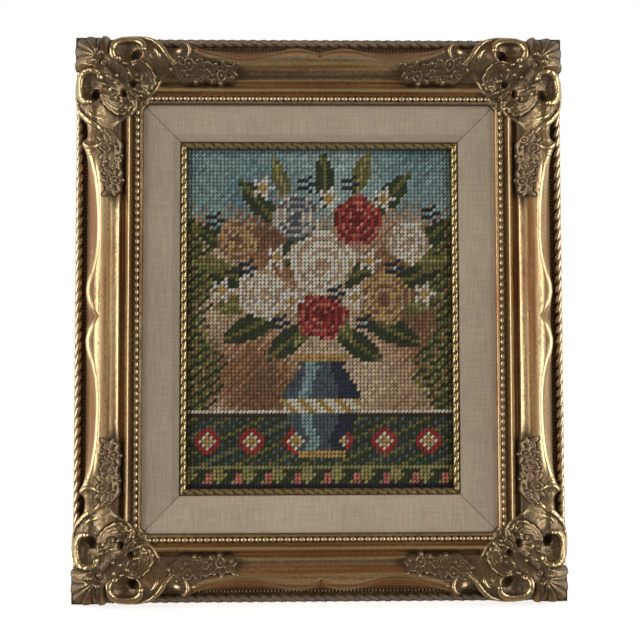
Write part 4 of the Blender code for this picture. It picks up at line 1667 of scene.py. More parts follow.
    def shape(self) -> tuple[np.ndarray, np.ndarray, dict[str, np.ndarray]]:
        """The ornament's points in mm, its faces, its grime with painted shade, and its burnish."""
        line = np.arange(0.45, self.reach, self.spacing)
        u, v = np.meshgrid(line, line)
        least, most = np.minimum(u, v), np.maximum(u, v)
        carved, bright = self.carved(u, v)
        under, inside = self.under(least, most), self.inside(u, v)
        square = np.minimum(least, (self.tip - most) + 0.9)
        depth = np.where(most < self.tip, np.maximum(square - 0.3, inside), inside)
        rise = np.sqrt(1 - (1 - np.clip((depth + 0.3) / 1.4, 0.0, 1.0)) ** 2)
        height = (under - 1.4) + (carved - under + 1.4) * rise
        points = np.stack([u, v, height], axis=-1).reshape(-1, 3)
        faces = net(len(line), len(line))
        faces = faces[(depth > -0.9).reshape(-1)[faces].all(axis=1)]
        deep, down = evened(carved, 34) - carved, (u + v) / 2
        grime = np.clip(deep * 0.42 + 0.36, 0.0, 1.0) + 0.3 * eased(-least, -4.5, -1.0)
        grime = grime + 0.6 * eased(-rise, -0.8, -0.2)
        # Painted shade on the cartouche's raised middle.
        middle = bell(u - v, 11.0) * eased(down, 22.0, 27.0) * (1 - eased(down, 34.0, 40.0))
        grime = grime + middle * 0.24
        return points, faces, {"grime": grime.reshape(-1), "burnish": bright.reshape(-1)}

    def build(self) -> list[bpy.types.Object]:
        """The four ornaments as pieces."""
        points, faces, values = trimmed(*self.shape())
        made = []
        for corner in Corner:
            mesh = mesh_from(f"ornament_{corner.label}", on_corner(points, corner), faces, values)
            mesh.materials.append(self.gilt)
            self.close_sides(mesh)
            mark_hollows(mesh)
            made.append(shown(mesh.name, mesh, [f"corner_{corner.label}"]))
        return made

    @staticmethod
    def close_sides(mesh: bpy.types.Mesh) -> None:
        """Carries the ornament's free edge down towards the wall."""
        work = bmesh.new()
        work.from_mesh(mesh)
        rim = [edge for edge in work.edges if edge.is_boundary]
        walls = bmesh.ops.extrude_edge_only(work, edges=rim)["geom"]
        for item in walls:
            if isinstance(item, bmesh.types.BMVert):
                item.co.y = -4.0 * MM
            if isinstance(item, bmesh.types.BMFace):
                item.smooth = True
        work.to_mesh(mesh)
        work.free()


@dataclass
class Spray:
    """A cast spray of flowers and leaves in the cove, beside each corner ornament."""

    gilt: bpy.types.Material
    moulding: Moulding
    start: float = 66.0
    spacing: float = 0.34
    stretch: float = 1.07

    BED: ClassVar[Rows] = (
        (16.0, 35.4), (20.0, 34.8), (22.4, 33.4), (24.4, 31.4), (26.4, 28.6), (28.4, 25.6), (30.4, 23.0),
        (32.4, 21.0), (34.4, 19.6), (37.0, 18.4),
    )
    MOUNDS: ClassVar[Rows] = (
        (77.0, 28.6, 0.0, 8.6, 4.6, 8.0), (90.0, 29.4, -0.6, 8.0, 3.6, -4.0),
        (101.0, 29.6, 0.0, 6.4, 3.6, -14.0),
    )
    STEMS: ClassVar[Sequence[Rows]] = (
        ((69.6, 25.4), (74.0, 28.0), (79.0, 30.6), (84.5, 30.4), (89.5, 29.0), (94.5, 30.2), (98.5, 31.4)),
        ((83.6, 27.0), (87.6, 25.4), (92.0, 24.9), (96.0, 26.6), (99.0, 29.4)),
        ((100.0, 30.0), (104.0, 28.2), (108.0, 26.4), (110.4, 25.0)),
        ((72.6, 31.4), (77.0, 33.0), (82.0, 33.2), (87.0, 32.2), (92.0, 32.8)),
    )
    FLOWERS: ClassVar[Rows] = (
        (80.3, 25.4, 1.9, 3.6, 10.0), (99.8, 31.0, 1.9, 3.4, 40.0), (90.6, 29.6, 1.5, 2.5, 0.0),
        (73.6, 30.0, 1.5, 2.4, 20.0), (105.2, 27.6, 1.4, 2.1, 25.0), (86.4, 32.2, 1.3, 2.0, 15.0),
    )
    LEAVES: ClassVar[Rows] = (
        (74.4, 26.0, 1.3, 3.6, 1.7, 200.0), (76.0, 33.0, 1.2, 3.6, 1.6, 12.0),
        (85.0, 28.6, 1.3, 3.6, 1.7, -10.0), (86.4, 23.6, 1.1, 2.8, 1.4, -24.0),
        (81.6, 31.8, 1.2, 3.0, 1.6, 40.0), (95.0, 27.8, 1.2, 2.9, 1.5, 60.0),
        (95.0, 33.2, 1.1, 2.8, 1.4, -20.0), (103.8, 32.4, 1.2, 3.2, 1.5, 16.0),
        (107.2, 30.0, 1.1, 3.0, 1.4, 8.0), (109.0, 25.8, 1.6, 2.6, 1.4, -28.0),
        (101.2, 25.6, 1.1, 2.6, 1.3, 84.0), (75.6, 22.2, 0.9, 2.4, 1.2, 30.0),
    )
    BALLS: ClassVar[Rows] = (
        (91.9, 24.8), (84.4, 25.8), (78.0, 31.0), (94.2, 30.6), (103.0, 29.0), (96.8, 25.6), (71.6, 27.4),
        (89.0, 26.4), (98.8, 35.0), (83.2, 34.2), (106.6, 31.8), (76.8, 28.8),
    )

    def shape(self) -> tuple[np.ndarray, np.ndarray, dict[str, np.ndarray]]:
        """The spray's points from its own corner in mm, its faces, and its grime."""
        s = np.arange(self.start, 117.0, self.spacing)
        t = np.arange(18.5, 37.2, self.spacing)
        u, v = np.meshgrid(s, t)
        face = self.moulding.face(v, self.moulding.ridge_share(u))
        cove = np.where(v > SIGHT_START, 14.6, face)
        work = Relief(u, v, np.interp(v, *smoothed(self.BED, 6).T), bare=True)
        for row in self.MOUNDS:
            work.dome(*row)
        for knots in self.STEMS:
            work.stroke([(x, y, 0.9, 0.85) for x, y in knots])
        for row in self.LEAVES:
            work.leaf(*row)
        for row in self.FLOWERS:
            work.flower(*row)
        for x, y in self.BALLS:
            work.dome(x, y, 1.6, 1.2, 1.2)
        raised = work.height > ABSENT / 2
        near = evened(raised.astype(float), 36)
        fill = cove - 1.2 + (work.ground - 0.05 - cove + 1.2) * eased(near, 0.2, 0.62)
        faces = net(len(t), len(s))
        faces = faces[(near > 0.17).reshape(-1)[faces].all(axis=1)]
        height = np.maximum(np.where(raised, work.height, ABSENT), fill)
        full = height - work.ground
        grime = np.clip((evened(full, 10) - full) * 0.55 + 0.32, 0.0, 1.0)
        grime = grime + 0.2 * (1 - eased(near, 0.2, 0.5))
        along = self.start + (u - self.start) * self.stretch
        points = np.stack([along, v, height], axis=-1).reshape(-1, 3)
        return points, faces, {"grime": grime.reshape(-1)}

    def build(self) -> list[bpy.types.Object]:
        """The eight sprays as pieces."""
        made = []
        points, faces, values = trimmed(*self.shape())
        for (side, half), label in SPRAY_LABELS.items():
            local = points.copy()
            local[:, 0] = half.value * (side.length / 2 - local[:, 0])
            turn = faces if half is Half.START else faces[:, ::-1]
            mesh = mesh_from(f"flowers_{label}", on_side(local, side), turn, values)
            mesh.materials.append(self.gilt)
            mark_hollows(mesh)
            made.append(shown(mesh.name, mesh, [f"spray_{label}"]))
        return made


# Inside the frame.


@dataclass
class LinerAndFillet:
    """The four linen sides, and the rope fillet along their inner edge."""

    linen: bpy.types.Material
    gold: bpy.types.Material
    wood: bpy.types.Material
    rope: Repeater
    columns: int = 60
    rope_place: tuple[float, float] = (75.15, 8.9)
    lay: float = 13.8
    strand: float = 1.93
    helix: float = 0.44
    step: float = 0.8

    LINEN: ClassVar[Rows] = (
        (41.95, 12.7), (45.0, 12.7), (50.0, 12.72), (56.0, 12.74), (62.0, 12.72), (66.0, 12.7),
        (67.4, 12.68), (68.0, 12.55), (68.5, 12.3), (70.2, 11.5), (71.8, 10.7), (72.3, 10.4), (72.55, 9.9),
        (72.6, 9.0), (66.1, 9.0), (66.1, 4.5), (54.0, 4.5), (41.95, 4.5), (41.95, 8.0),
    )
    # How much darker each side's linen is painted: painted light by side.
    AGED: ClassVar[BySide] = by_side(top=0.11, right=0.07, bottom=0.0, left=0.11)
    BEVEL_SHADE: ClassVar[BySide] = by_side(top=0.1, right=0.04, bottom=0.0, left=0.24)
    FLANGE: ClassVar[Rows] = (
        (66.4, 7.2), (66.4, 8.7), (72.9, 8.7), (73.4, 9.0), (76.4, 9.0), (76.9, 8.6), (76.9, 7.2),
    )
    MITRE_STEPS: ClassVar[Sequence[float]] = (0.0, 0.2, 0.45, 0.9, 1.8, 4.0)
    BARE_ROWS: ClassVar[tuple[int, int]] = (13, 18)

    def strip(
        self, side: Side, name: str, section: Rows, material: bpy.types.Material, seam: float
    ) -> bpy.types.Mesh:
        """A mitred length of one closed section.

        Args:
            side: The side.
            name: The mesh's name.
            section: Rows of inward and height, from the outer front edge round.
            material: Its finish.
            seam: How far the cloth dips at the mitre, in mm.

        Returns:
            The mesh in place.
        """
        near = np.array(self.MITRE_STEPS)
        shape = np.array(section)
        inward, height = shape[:, :1], shape[:, 1:]
        reach = side.length / 2 - 0.06 - inward
        inner = np.linspace(-1, 1, self.columns)[None, :] * (reach - 6.0)
        along = np.hstack([-(reach - near), inner, reach - near[::-1]])
        away = reach - np.abs(along)
        dip = seam * bell(away, 0.35) * (height > 8.5)
        points = np.stack([along, np.repeat(inward, along.shape[1], 1), height - dip], axis=-1)
        flat = points.reshape(-1, 3)
        # Painted shade under the frame's lip, on the inner bevel and by side, with the dark mitre joint added
        # below.
        linen_shade = eased(-flat[:, 1], -44.5, -41.9) * 0.5
        linen_shade = linen_shade + eased(flat[:, 1], 67.0, 68.6) * self.BEVEL_SHADE[side] + self.AGED[side]
        grime = np.clip(bell(away, 0.22).reshape(-1) * 0.6 * (seam > 0) + linen_shade, 0.0, 1.0)
        faces = tube(*along.shape)
        mesh = mesh_from(name, on_side(flat, side), faces, {"grime": grime}, flat[:, :2] * MM)
        mesh.materials.append(material)
        mesh.set_sharp_from_angle(angle=math.radians(50))
        return mesh

    def liner(self, side: Side) -> bpy.types.Object:
        """One linen side."""
        mesh = self.strip(side, f"linen_{side.label}", self.LINEN, self.linen, 0.35)
        mesh.materials.append(self.wood)
        bare_rows(mesh, *self.BARE_ROWS, self.columns + 2 * len(self.MITRE_STEPS))
        return shown(mesh.name, mesh, [f"liner_{side.label}"])

    def fillet(self, side: Side) -> bpy.types.Object:
        """One length of rope fillet with its flange."""
        inward, height = self.rope_place
        long = side.length - 2 * inward
        mesh = twisted(self.rope, self.gold, (long + 8.0, self.lay, self.strand, self.helix, self.step))
        spots = points_of(mesh)
        away = np.hypot(spots[:, 1], spots[:, 2]) / ((self.strand + self.helix) * MM)
        write_numbers(mesh, "grime", 0.2 + 0.95 * eased(-away, -0.9, -0.83))
        self.mitre(mesh, (side.length / 2 - inward) * MM)
        set_down(mesh, side, inward, height)
        mesh.shade_smooth()
        flange = self.strip(side, "flange", self.FLANGE, self.gold, 0.0)
        whole = joined(f"fillet_rope_{side.label}", [mesh, flange])
        mark_hollows(whole, 1)
        return shown(whole.name, whole, [f"fillet_{side.label}"])

    @staticmethod
    def mitre(mesh: bpy.types.Mesh, half: float) -> None:
        """Cuts both ends of a rope at 45 degrees, with its axis reaching so far from the middle."""
        work = bmesh.new()
        work.from_mesh(mesh)
        for way in (-1, 1):
            bmesh.ops.bisect_plane(
                work,
                geom=[*work.verts, *work.edges, *work.faces],
                plane_co=(way * (half - 0.05 * MM), 0.0, 0.0),
                plane_no=(way, 0.0, -1.0),
                clear_outer=True,
            )
            rim = [edge for edge in work.edges if edge.is_boundary]
            bmesh.ops.edgenet_fill(work, edges=rim)
        bmesh.ops.recalc_face_normals(work, faces=work.faces)
        work.to_mesh(mesh)
        work.free()

    def build(self) -> list[bpy.types.Object]:
        """The liner's and the fillet's sides as pieces."""
        return [self.liner(side) for side in Side] + [self.fillet(side) for side in Side]


class Wools:
    """The colours of wool, each in linear light."""

    SHADES: ClassVar[Mapping[str, Colour]] = {
        "sky": (0.290, 0.430, 0.450),
        "sky_pale": (0.400, 0.530, 0.540),
        "sky_deep": (0.200, 0.330, 0.375),
        "slate": (0.100, 0.135, 0.170),
        "navy": (0.035, 0.045, 0.075),
        "rust": (0.400, 0.215, 0.115),
        "sand": (0.680, 0.530, 0.380),
        "fawn": (0.460, 0.350, 0.250),
        "cream": (0.800, 0.740, 0.620),
        "white": (0.850, 0.820, 0.760),
        "grey": (0.420, 0.410, 0.400),
        "tan": (0.550, 0.395, 0.260),
        "brown": (0.260, 0.145, 0.080),
        "umber": (0.070, 0.045, 0.030),
        "pine": (0.050, 0.070, 0.038),
        "olive": (0.190, 0.190, 0.065),
        "moss": (0.360, 0.345, 0.140),
        "brick": (0.420, 0.055, 0.045),
        "wine": (0.170, 0.025, 0.030),
        "rose": (0.600, 0.220, 0.170),
        "mustard": (0.550, 0.370, 0.130),
    }

    def __init__(self) -> None:
        """Numbers the shades."""
        self.names = list(self.SHADES)
        self.table = np.array(list(self.SHADES.values()))

    def number(self, name: str) -> int:
        """A shade's number."""
        return self.names.index(name)


@dataclass
class Chart:
    """A stitcher's chart of a vase of garden flowers, one cell to a stitch."""

    wools: Wools
    columns: int = 74
    rows: int = 94
    cells: np.ndarray = field(init=False)
    x: np.ndarray = field(init=False)
    y: np.ndarray = field(init=False)

    def __post_init__(self) -> None:
        """Starts from a plain ground."""
        self.cells = np.full((self.rows, self.columns), self.wools.number("tan"))
        self.y, self.x = np.mgrid[0 : self.rows, 0 : self.columns].astype(float)

    def lay(self, where: np.ndarray, shade: str) -> None:
        """Stitches every cell of a region in one shade."""
        self.cells[where] = self.wools.number(shade)

    def ground(self) -> None:
        """Stitches a papered wall: teal above, tans below, with leafy hangings at both sides."""
        x, y = self.x, self.y
        woven = ((x * 2 + y * 3) % 5) / 5 - 0.4
        drift = np.sin(x * 0.16 + 1.2) + np.sin(y * 0.13 + x * 0.07) + woven * 1.1
        self.lay(drift > 0.55, "sand")
        self.lay(drift < -0.5, "rust")
        self.lay(drift < -1.25, "brown")
        top = y + woven * 9.0 + 2.0 * np.sin(x * 0.2)
        self.lay(top > 72, "fawn")
        self.lay(top > 75, "sky")
        self.lay((top > 75) & (drift > 0.7), "sky_pale")
        self.lay((top > 75) & (drift < -0.9), "sky_deep")
        side = np.abs(x - 36.5) + woven * 4.0 + 2.2 * np.sin(y * 0.24)
        hung = (side > 30.5 - 0.05 * (72 - y)) & (y < 74)
        self.lay(hung, "olive")
        self.lay(hung & ((x * 3 + y * 2) % 7 < 2), "moss")
        self.lay(hung & ((x * 2 - y * 3) % 8 < 2.5), "pine")
        self.lay(hung & ((x * 5 + y * 3) % 11 < 1), "rust")

    def cloth(self) -> None:
        """Stitches the table cloth and its border."""
        x, y = self.x, self.y
        self.lay(y < 22, "pine")
        self.lay((y < 22) & ((x * 2 + y * 3) % 7 < 2), "slate")
        self.lay((y < 22) & ((x - y * 2) % 9 < 2), "olive")
        self.lay((y < 22) & (y >= 20.5), "cream")
        self.lay((y < 20.5) & (y >= 19.5), "umber")
        check = (x % 12 - 6) ** 2 + (y - 13) ** 2 * 1.1
        self.lay((y < 19) & (check < 13), "brick")
        self.lay((y < 19) & (check < 5), "cream")
        self.lay((y < 19) & (check < 1.5), "mustard")
        self.lay(y < 7, "moss")
        self.lay((y < 6) & (((x + y) % 8 < 3) | ((x - y) % 8 < 3)), "pine")
        self.lay((y < 4.5) & (y > 1.5) & (x % 8 > 5), "rose")
        self.lay(y < 1.5, "navy")

    def vase(self) -> None:
        """Stitches the vase, with a pale band and a light on one side."""
        middle, y = 37.0, self.y
        half = np.interp(y, (9, 11, 13, 18, 24, 29, 33, 36), (6.5, 6.5, 4.4, 9.0, 11.2, 8.6, 5.6, 7.2))
        body = (y >= 9) & (y <= 36) & (np.abs(self.x - middle) < half)
        self.lay(body, "slate")
        self.lay(body & (self.x - middle > half * 0.45), "navy")
        self.lay(body & (np.abs(self.x - middle + half * 0.45) < 1.6), "sky")
        self.lay(body & (y > 20) & (y < 25), "cream")
        self.lay(body & (y > 20) & (y < 25) & ((self.x + y) % 5 < 2), "mustard")
        self.lay(body & ((y > 34.5) | (y < 10.5)), "mustard")

    def leaf(
        self, u: float, v: float, long: float, wide: float, turn: float, shade: str, rib: str
    ) -> None:
        """Stitches a pointed leaf.

        Args:
            u: Its middle, across.
            v: Its middle, up.
            long: Its half length.
            wide: Its half width.
            turn: Its angle in degrees.
            shade: Its shade.
            rib: The shade of its midrib.
        """
        cos, sin = math.cos(math.radians(turn)), math.sin(math.radians(turn))
        along = ((self.x - u) * cos + (self.y - v) * sin) / long
        aside = ((self.y - v) * cos - (self.x - u) * sin) / wide
        blade = (np.abs(along) < 1) & (np.abs(aside) < 1 - along**2)
        self.lay(blade, shade)
        self.lay(blade & (np.abs(aside) * wide < 0.6), rib)

    def bloom(
        self, u: float, v: float, radius: float, shades: Sequence[str], turn: float = 0.0
    ) -> None:
        """Stitches a full rose: dark between its petals, pale on their edges."""
        away = np.hypot(self.x - u, self.y - v) / radius
        angle = np.arctan2(self.y - v, self.x - u) + math.radians(turn)
        edge = 1.0 + 0.09 * np.cos(angle * PETALS)
        inside = away < edge
        swirl = (away * 3.1 + angle / (2 * np.pi)) % 1.0
        self.lay(inside, shades[1])
        self.lay(inside & (swirl > 0.72), shades[0])
        self.lay(inside & (swirl < 0.26), shades[2])
        self.lay(away < 0.2, shades[0])

    def daisy(self, u: float, v: float, radius: float, shade: str, heart: str) -> None:
        """Stitches a small open flower."""
        away = np.hypot(self.x - u, self.y - v)
        angle = np.arctan2(self.y - v, self.x - u)
        self.lay(away < radius * (0.72 + 0.34 * np.cos(angle * PETALS)), shade)
        self.lay(away < radius * 0.34, heart)

    def draw(self) -> None:
        """Stitches the whole chart, from the wall at the back to the smallest flowers."""
        self.ground()
        self.cloth()
        self.vase()
        for u, v, long, wide, turn in (
            (18, 44, 9, 3.4, 205), (56, 43, 9, 3.4, -25), (12, 58, 8, 3.0, 165), (63, 58, 8, 3.0, 20),
            (20, 78, 8, 3.0, 130), (56, 80, 8, 3.0, 50), (38, 84, 8, 2.8, 95), (28, 40, 8, 3.2, 220),
            (47, 39, 8, 3.2, -35), (8, 68, 6, 2.4, 150), (67, 69, 6, 2.4, 35), (30, 66, 7, 3.0, 60),
            (45, 58, 7, 3.0, 15),
        ):
            self.leaf(u, v, long, wide, turn, "pine", "olive")
        for u, v, long, wide, turn in (
            (14, 50, 7, 2.4, 190), (60, 50, 7, 2.4, -8), (26, 84, 7, 2.2, 110), (48, 86, 7, 2.2, 75),
            (33, 44, 6, 2.4, 240), (42, 45, 6, 2.4, -60), (66, 62, 6, 2.0, 5), (7, 61, 6, 2.0, 175),
        ):
            self.leaf(u, v, long, wide, turn, "olive", "moss")
        red, pale = ("wine", "brick", "rose"), ("tan", "cream", "white")
        gold, dusk = ("brown", "tan", "mustard"), ("slate", "grey", "cream")
        for u, v, radius, shades, turn in (
            (21, 53, 7.0, pale, 0), (54, 52, 7.2, gold, 70), (37, 47, 6.6, red, 140), (30, 74, 6.4, dusk, 30),
            (47, 73, 6.6, red, 200), (14, 68, 5.4, gold, 100), (61, 67, 5.6, pale, 10),
            (37, 61, 9.0, pale, 60),
        ):
            self.bloom(u, v, radius, shades, turn)
        for u, v in (
            (25, 63), (50, 62), (39, 79), (21, 82), (54, 79), (29, 51), (46, 52), (10, 54), (65, 53),
        ):
            self.daisy(u, v, 3.3, "white", "mustard")
        for u, v in (
            (17, 60), (57, 60), (33, 83), (45, 83), (26, 45), (49, 45), (8, 73), (67, 75), (41, 53),
        ):
            self.daisy(u, v, 2.4, "navy", "sky_pale")


@dataclass
class Needlepoint:
    """The stitched cloth: canvas, half cross stitches on its face, and short bars on its back."""

    wool: bpy.types.Material
    canvas: bpy.types.Material
    stitches: Repeater
    chart: Chart
    width: float = 204.5
    height: float = 255.3
    opening: tuple[float, float] = (182.7, 233.5)
    pitch: float = 2.54
    cloth_points: tuple[int, int] = (61, 77)

    CLOTH_LEVELS: ClassVar[Sequence[float]] = (5.9, 5.0)
    FACE_LEVEL: ClassVar[float] = 5.95
    BACK_LEVEL: ClassVar[float] = 4.98
    FACE_STITCH: ClassVar[Sequence[float]] = (1.72, 1.12, 1.15, 51.0)
    BACK_BAR: ClassVar[Sequence[float]] = (1.15, 0.8, 0.45, 90.0)

    def ground(self) -> bpy.types.Object:
        """The canvas, a thin cloth with a slight swell over its threads."""
        columns, rows = self.cloth_points
        across = np.linspace(-self.width / 2, self.width / 2, columns)
        up = np.linspace(self.height / 2, -self.height / 2, rows)
        x, z = np.meshgrid(across, up)
        rng = np.random.default_rng(SEED)
        swell = evened(rng.normal(0.0, 0.5, x.shape), 12) * 0.5
        layers = []
        for level in self.CLOTH_LEVELS:
            layers.append(np.stack([x, -(level + swell), z + CENTRE_Z], axis=-1).reshape(-1, 3) * MM)
        count = rows * columns
        front = net(rows, columns)
        faces = [*front.tolist(), *(front[:, ::-1] + count).tolist()]
        loop = [*range(columns), *range(2 * columns - 1, count, columns)]
        loop += [*range(count - 2, count - columns - 1, -1), *range(count - 2 * columns, 0, -columns)]
        for first, second in zip(loop, [*loop[1:], loop[0]]):
            faces.append([first, second, second + count, first + count])
        mesh = mesh_from("needlepoint_canvas", np.vstack(layers), faces)
        mesh.materials.append(self.canvas)
        return shown("needlepoint_canvas", mesh, ["needlepoint"])

    def strand(
        self, half_long: float, half_wide: float, tall: float, slant: float, front: bool
    ) -> bpy.types.Mesh:
        """One stitch, round above and open below.

        Args:
            half_long: Half its length in mm.
            half_wide: Half its width.
            tall: Its height.
            slant: Its angle from level, in degrees.
            front: Whether it lies on the cloth's face.

        Returns:
            The mesh about its own middle, in metres.
        """
        cos, sin = math.cos(math.radians(slant)), math.sin(math.radians(slant))
        points, faces, low = [], [], []
        sweep = np.radians((-12, 40, 90, 140, 192))
        for x, wide in ((-0.62, 0.8), (0.0, 1.0), (0.62, 0.8)):
            for angle in sweep:
                along, aside = x * half_long, math.cos(angle) * half_wide * wide
                rise = max(math.sin(angle), -0.25) * tall * wide
                points.append((along * cos - aside * sin, rise, along * sin + aside * cos))
                # How low each point lies on the stitch, which the wool reads to paint shade at its sides.
                low.append(1.0 - max(math.sin(angle), 0.0) * wide)
        for x in (-1.0, 1.0):
            points.append((x * half_long * cos, -0.1, x * half_long * sin))
            low.append(1.0)
        for ring in range(2):
            for i in range(4):
                a = ring * 5 + i
                faces.append((a, a + 1, a + 6, a + 5))
        for i in range(4):
            faces.append((15, i + 1, i))
            faces.append((16, 10 + i, 11 + i))
        spots = np.array(points)
        spots[:, 1] *= -1.0 if front else 1.0
        if front:
            faces = [face[::-1] for face in faces]
        mesh = mesh_from("stitch", spots * MM, faces, {"low": np.array(low)})
        work = bmesh.new()
        work.from_mesh(mesh)
        outward = Vector((0.0, -1.0 if front else 1.0, 0.0))
        if sum(face.normal.dot(outward) for face in work.faces) < 0:
            bmesh.ops.reverse_faces(work, faces=work.faces)
        work.to_mesh(mesh)
        work.free()
        return mesh

    def side(self, front: bool) -> bpy.types.Mesh:
        """All the stitches of the face, or all the bars of the back."""
        cells = self.chart.cells
        rows, columns = cells.shape
        up, across = np.mgrid[0:rows, 0:columns]
        rng = np.random.default_rng(SEED + int(front))
        x = (across - (columns - 1) / 2) * self.pitch
        z = (up - (rows - 1) / 2) * self.pitch + CENTRE_Z
        level = (self.FACE_LEVEL if front else self.BACK_LEVEL) + rng.normal(0.0, 0.05, x.shape)
        spots = np.stack([x, -level, z], axis=-1).reshape(-1, 3)
        spots[:, [0, 2]] += rng.normal(0.0, 0.07, (len(spots), 2))
        tint = 1.25 + rng.normal(0.0, 0.17, (rows, columns, 1)) + rng.normal(0.0, 0.06, (rows, 1, 1))
        # Stitches near the opening's edge are darkened: a painted shadow of the fillet.
        inside = np.minimum(self.opening[0] / 2 - np.abs(x), self.opening[1] / 2 - np.abs(z - CENTRE_Z))
        tint = tint * (1 - 0.5 * bell(np.maximum(inside, 0.0), 2.6))[..., None]
        colour = np.clip(self.chart.wools.table[cells] * tint, 0.0, 1.0).reshape(-1, 3)
        mesh = bpy.data.meshes.new("stitch_places")
        mesh.from_pydata((spots * MM).tolist(), [], [])
        layer = mesh.attributes.new("wool", "FLOAT_COLOR", "POINT")
        opaque = np.hstack([colour, np.ones((len(colour), 1))])
        layer.data.foreach_set("color", opaque.astype(np.float32).ravel())
        sizes = self.FACE_STITCH if front else self.BACK_BAR
        stitch = helper("stitch", self.strand(*sizes, front))
        settings = {"Stitch": stitch, "Unevenness": 0.16, "Seed": SEED, "Material": self.wool}
        made = self.stitches.run(mesh, settings)
        bpy.data.objects.remove(stitch, do_unlink=True)
        made.shade_smooth()
        return made

    def build(self) -> list[bpy.types.Object]:
        """The canvas and its stitches as pieces."""
        self.chart.draw()
        canvas = self.ground()
        pieces = []
        for front, name in ((True, "needlepoint_stitches"), (False, "needlepoint_back")):
            mesh = self.side(front)
            mesh.name = name
            mark_hollows(mesh, 0)
            pieces.append(shown(name, mesh))
        flat = (self.width * MM, self.height * MM)
        return [canvas, *pieces]


# The studio.


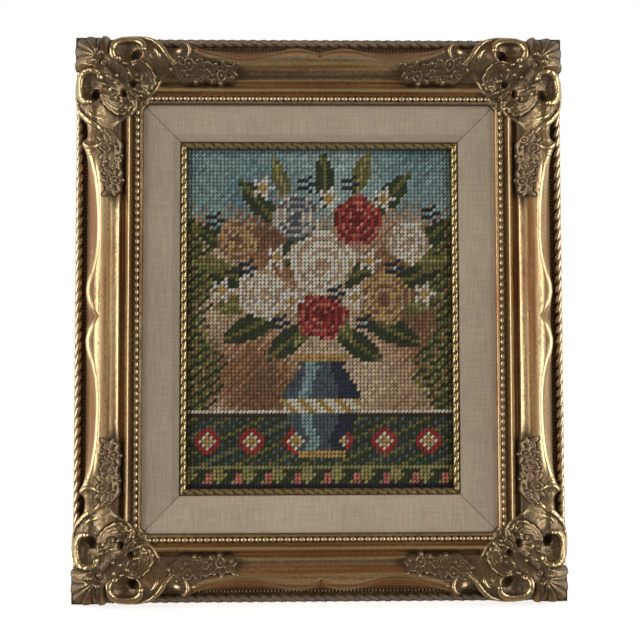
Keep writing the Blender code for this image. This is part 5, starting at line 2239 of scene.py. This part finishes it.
@dataclass
class Studio:
    """The pale floor, the soft lights and the camera."""

    camera_place: tuple[float, float, float] = (-0.01032, -0.60917, -0.02546)
    camera_turn: tuple[float, float, float] = (0.03940, 0.00222, -0.01732)
    film: float = 36.0
    focal_pixels: float = 872.7
    picture_pixels: float = 640.0
    side_power: float = 11.5
    side_light: float = 0.5
    wall_light: float = 0.3
    room: float = 0.17
    floor_half: float = 8.0

    def camera(self) -> None:
        """Puts the camera at the photograph's place."""
        data = bpy.data.cameras.new("camera")
        data.sensor_width = self.film
        data.lens = self.film * self.focal_pixels / self.picture_pixels
        data.clip_start = 0.01
        data.clip_end = 50.0
        made = bpy.data.objects.new("camera", data)
        level = Matrix(((1.0, 0.0, 0.0), (0.0, 0.0, -1.0), (0.0, 1.0, 0.0))).to_4x4()
        pitch, roll, yaw = (Matrix.Rotation(turn, 4, way) for turn, way in zip(self.camera_turn, "XYZ"))
        x, y, z = self.camera_place
        made.matrix_world = Matrix.Translation((x, y, z + CENTRE_Z * MM)) @ (yaw @ roll @ pitch) @ level
        bpy.context.scene.collection.objects.link(made)
        bpy.context.scene.camera = made

    def light(
        self, name: str, place: Sequence[float], size: tuple[float, float], power: float, warm: Colour
    ) -> None:
        """A soft box that faces the picture.

        Args:
            name: Its name.
            place: Where it stands, from the picture's centre, in metres.
            size: Its width and height.
            power: Its power in watts.
            warm: Its colour.
        """
        data = bpy.data.lights.new(name, "AREA")
        data.shape = "RECTANGLE"
        data.size, data.size_y = size
        data.energy = power
        data.color = warm
        made = bpy.data.objects.new(name, data)
        spot = Vector(place)
        made.rotation_euler = (-spot).to_track_quat("-Z", "Y").to_euler()
        made.location = spot + Vector((0.0, 0.0, CENTRE_Z * MM))
        made.visible_camera = False
        bpy.context.scene.collection.objects.link(made)

    def floor(self) -> None:
        """A wide pale floor just under the frame."""
        low = CAD_BOX[0].z - 0.6 * MM
        mesh = bpy.data.meshes.new("floor")
        half = self.floor_half
        corners = [(x * half, y * half, low) for x, y in ((-1, -1), (1, -1), (1, 1), (-1, 1))]
        mesh.from_pydata(corners, [], [(0, 1, 2, 3)])
        material, bench = fresh_material("pale_floor")
        speck = bench.noise(bench.place(), 30.0)
        bench.surface(
            {
                "Base Color": bench.mixed(speck * 0.04, (0.93, 0.93, 0.925), (0.88, 0.88, 0.88)),
                "Roughness": 0.8,
                "Specular IOR Level": 0.1,
                "Emission Color": (1.0, 1.0, 1.0, 1.0),
                "Emission Strength": 0.8,
            }
        )
        mesh.materials.append(material)
        made = bpy.data.objects.new("floor", mesh)
        made.visible_glossy = False
        made.visible_diffuse = False
        bpy.context.scene.collection.objects.link(made)

    def world(self) -> None:
        """A white backdrop to the eye, and for the gilt a room that is bright to the sides alone."""
        scene = bpy.context.scene
        scene.world = bpy.data.worlds.new("room")
        scene.world.use_nodes = True
        scene.world.node_tree.nodes.clear()
        bench = NodeBench(scene.world.node_tree)
        seen = bench.node("ShaderNodeLightPath", out="Is Camera Ray")
        way = bench.node("ShaderNodeTexCoord", out="Generated")
        across = bench.node("ShaderNodeSeparateXYZ", None, {0: way}, out="X")
        wide = (across * across).eased(0.12, 0.7)
        level = across.other("Z")
        glow = wide * (1 - (level * level).eased(0.1, 0.5)) * self.side_light + self.room
        glow = glow + across.other("Y").eased(0.1, 0.7) * self.wall_light
        amber = (level * across.other("Y") * -1.0).eased(0.04, 0.36)
        tint = bench.mixed(amber, (1.0, 0.96, 0.91), (1.0, 0.68, 0.36))
        dim = bench.node("ShaderNodeBackground", None, {"Color": tint, "Strength": glow})
        white = bench.node("ShaderNodeBackground", None, {"Color": (1.0, 1.0, 1.0, 1.0), "Strength": 1.0})
        both = bench.node("ShaderNodeMixShader", None, {0: seen, 1: dim, 2: white})
        bench.node("ShaderNodeOutputWorld", None, {"Surface": both})

    def build(self) -> None:
        """Sets the whole studio up."""
        self.camera()
        self.world()
        self.floor()
        for name, way in (("left_box", -1.0), ("right_box", 1.0)):
            self.light(name, (way * 1.3, -0.63, 0.05), (1.05, 1.3), self.side_power, (1.0, 0.97, 0.92))
        view = bpy.context.scene.view_settings
        view.view_transform = "Standard"
        view.look = "None"


def main() -> None:
    """Builds the studio, the frame, the liner with its fillet, and the needlepoint."""
    logging.basicConfig(level=logging.INFO, format="%(message)s")
    Studio().build()
    wood = BareWood().made()
    gilt = {finish.name: finish.made() for finish in GILTS}
    rope, row, stitches = rope_maker(), row_maker(), stitch_maker()
    moulding = Moulding(gilt["gilt_rail"], wood)
    parts = [
        moulding,
        EdgeRope(gilt["gilt_rope"], gilt["gilt_dusty"], rope),
        SmallRows(gilt["gilt_small"], row),
        CornerOrnament(gilt["gilt_cast"], moulding),
        Spray(gilt["gilt_spray"], moulding),
        LinerAndFillet(Linen().made(), gilt["fillet_gold"], wood, rope),
        Needlepoint(Wool().made(), Canvas().made(), stitches, Chart(Wools())),
    ]
    total = 0
    for part in parts:
        for piece in part.build():
            total += len(piece.data.loop_triangles)
    LOG.info("%d triangles in all", total)


if __name__ == "__main__":
    main()
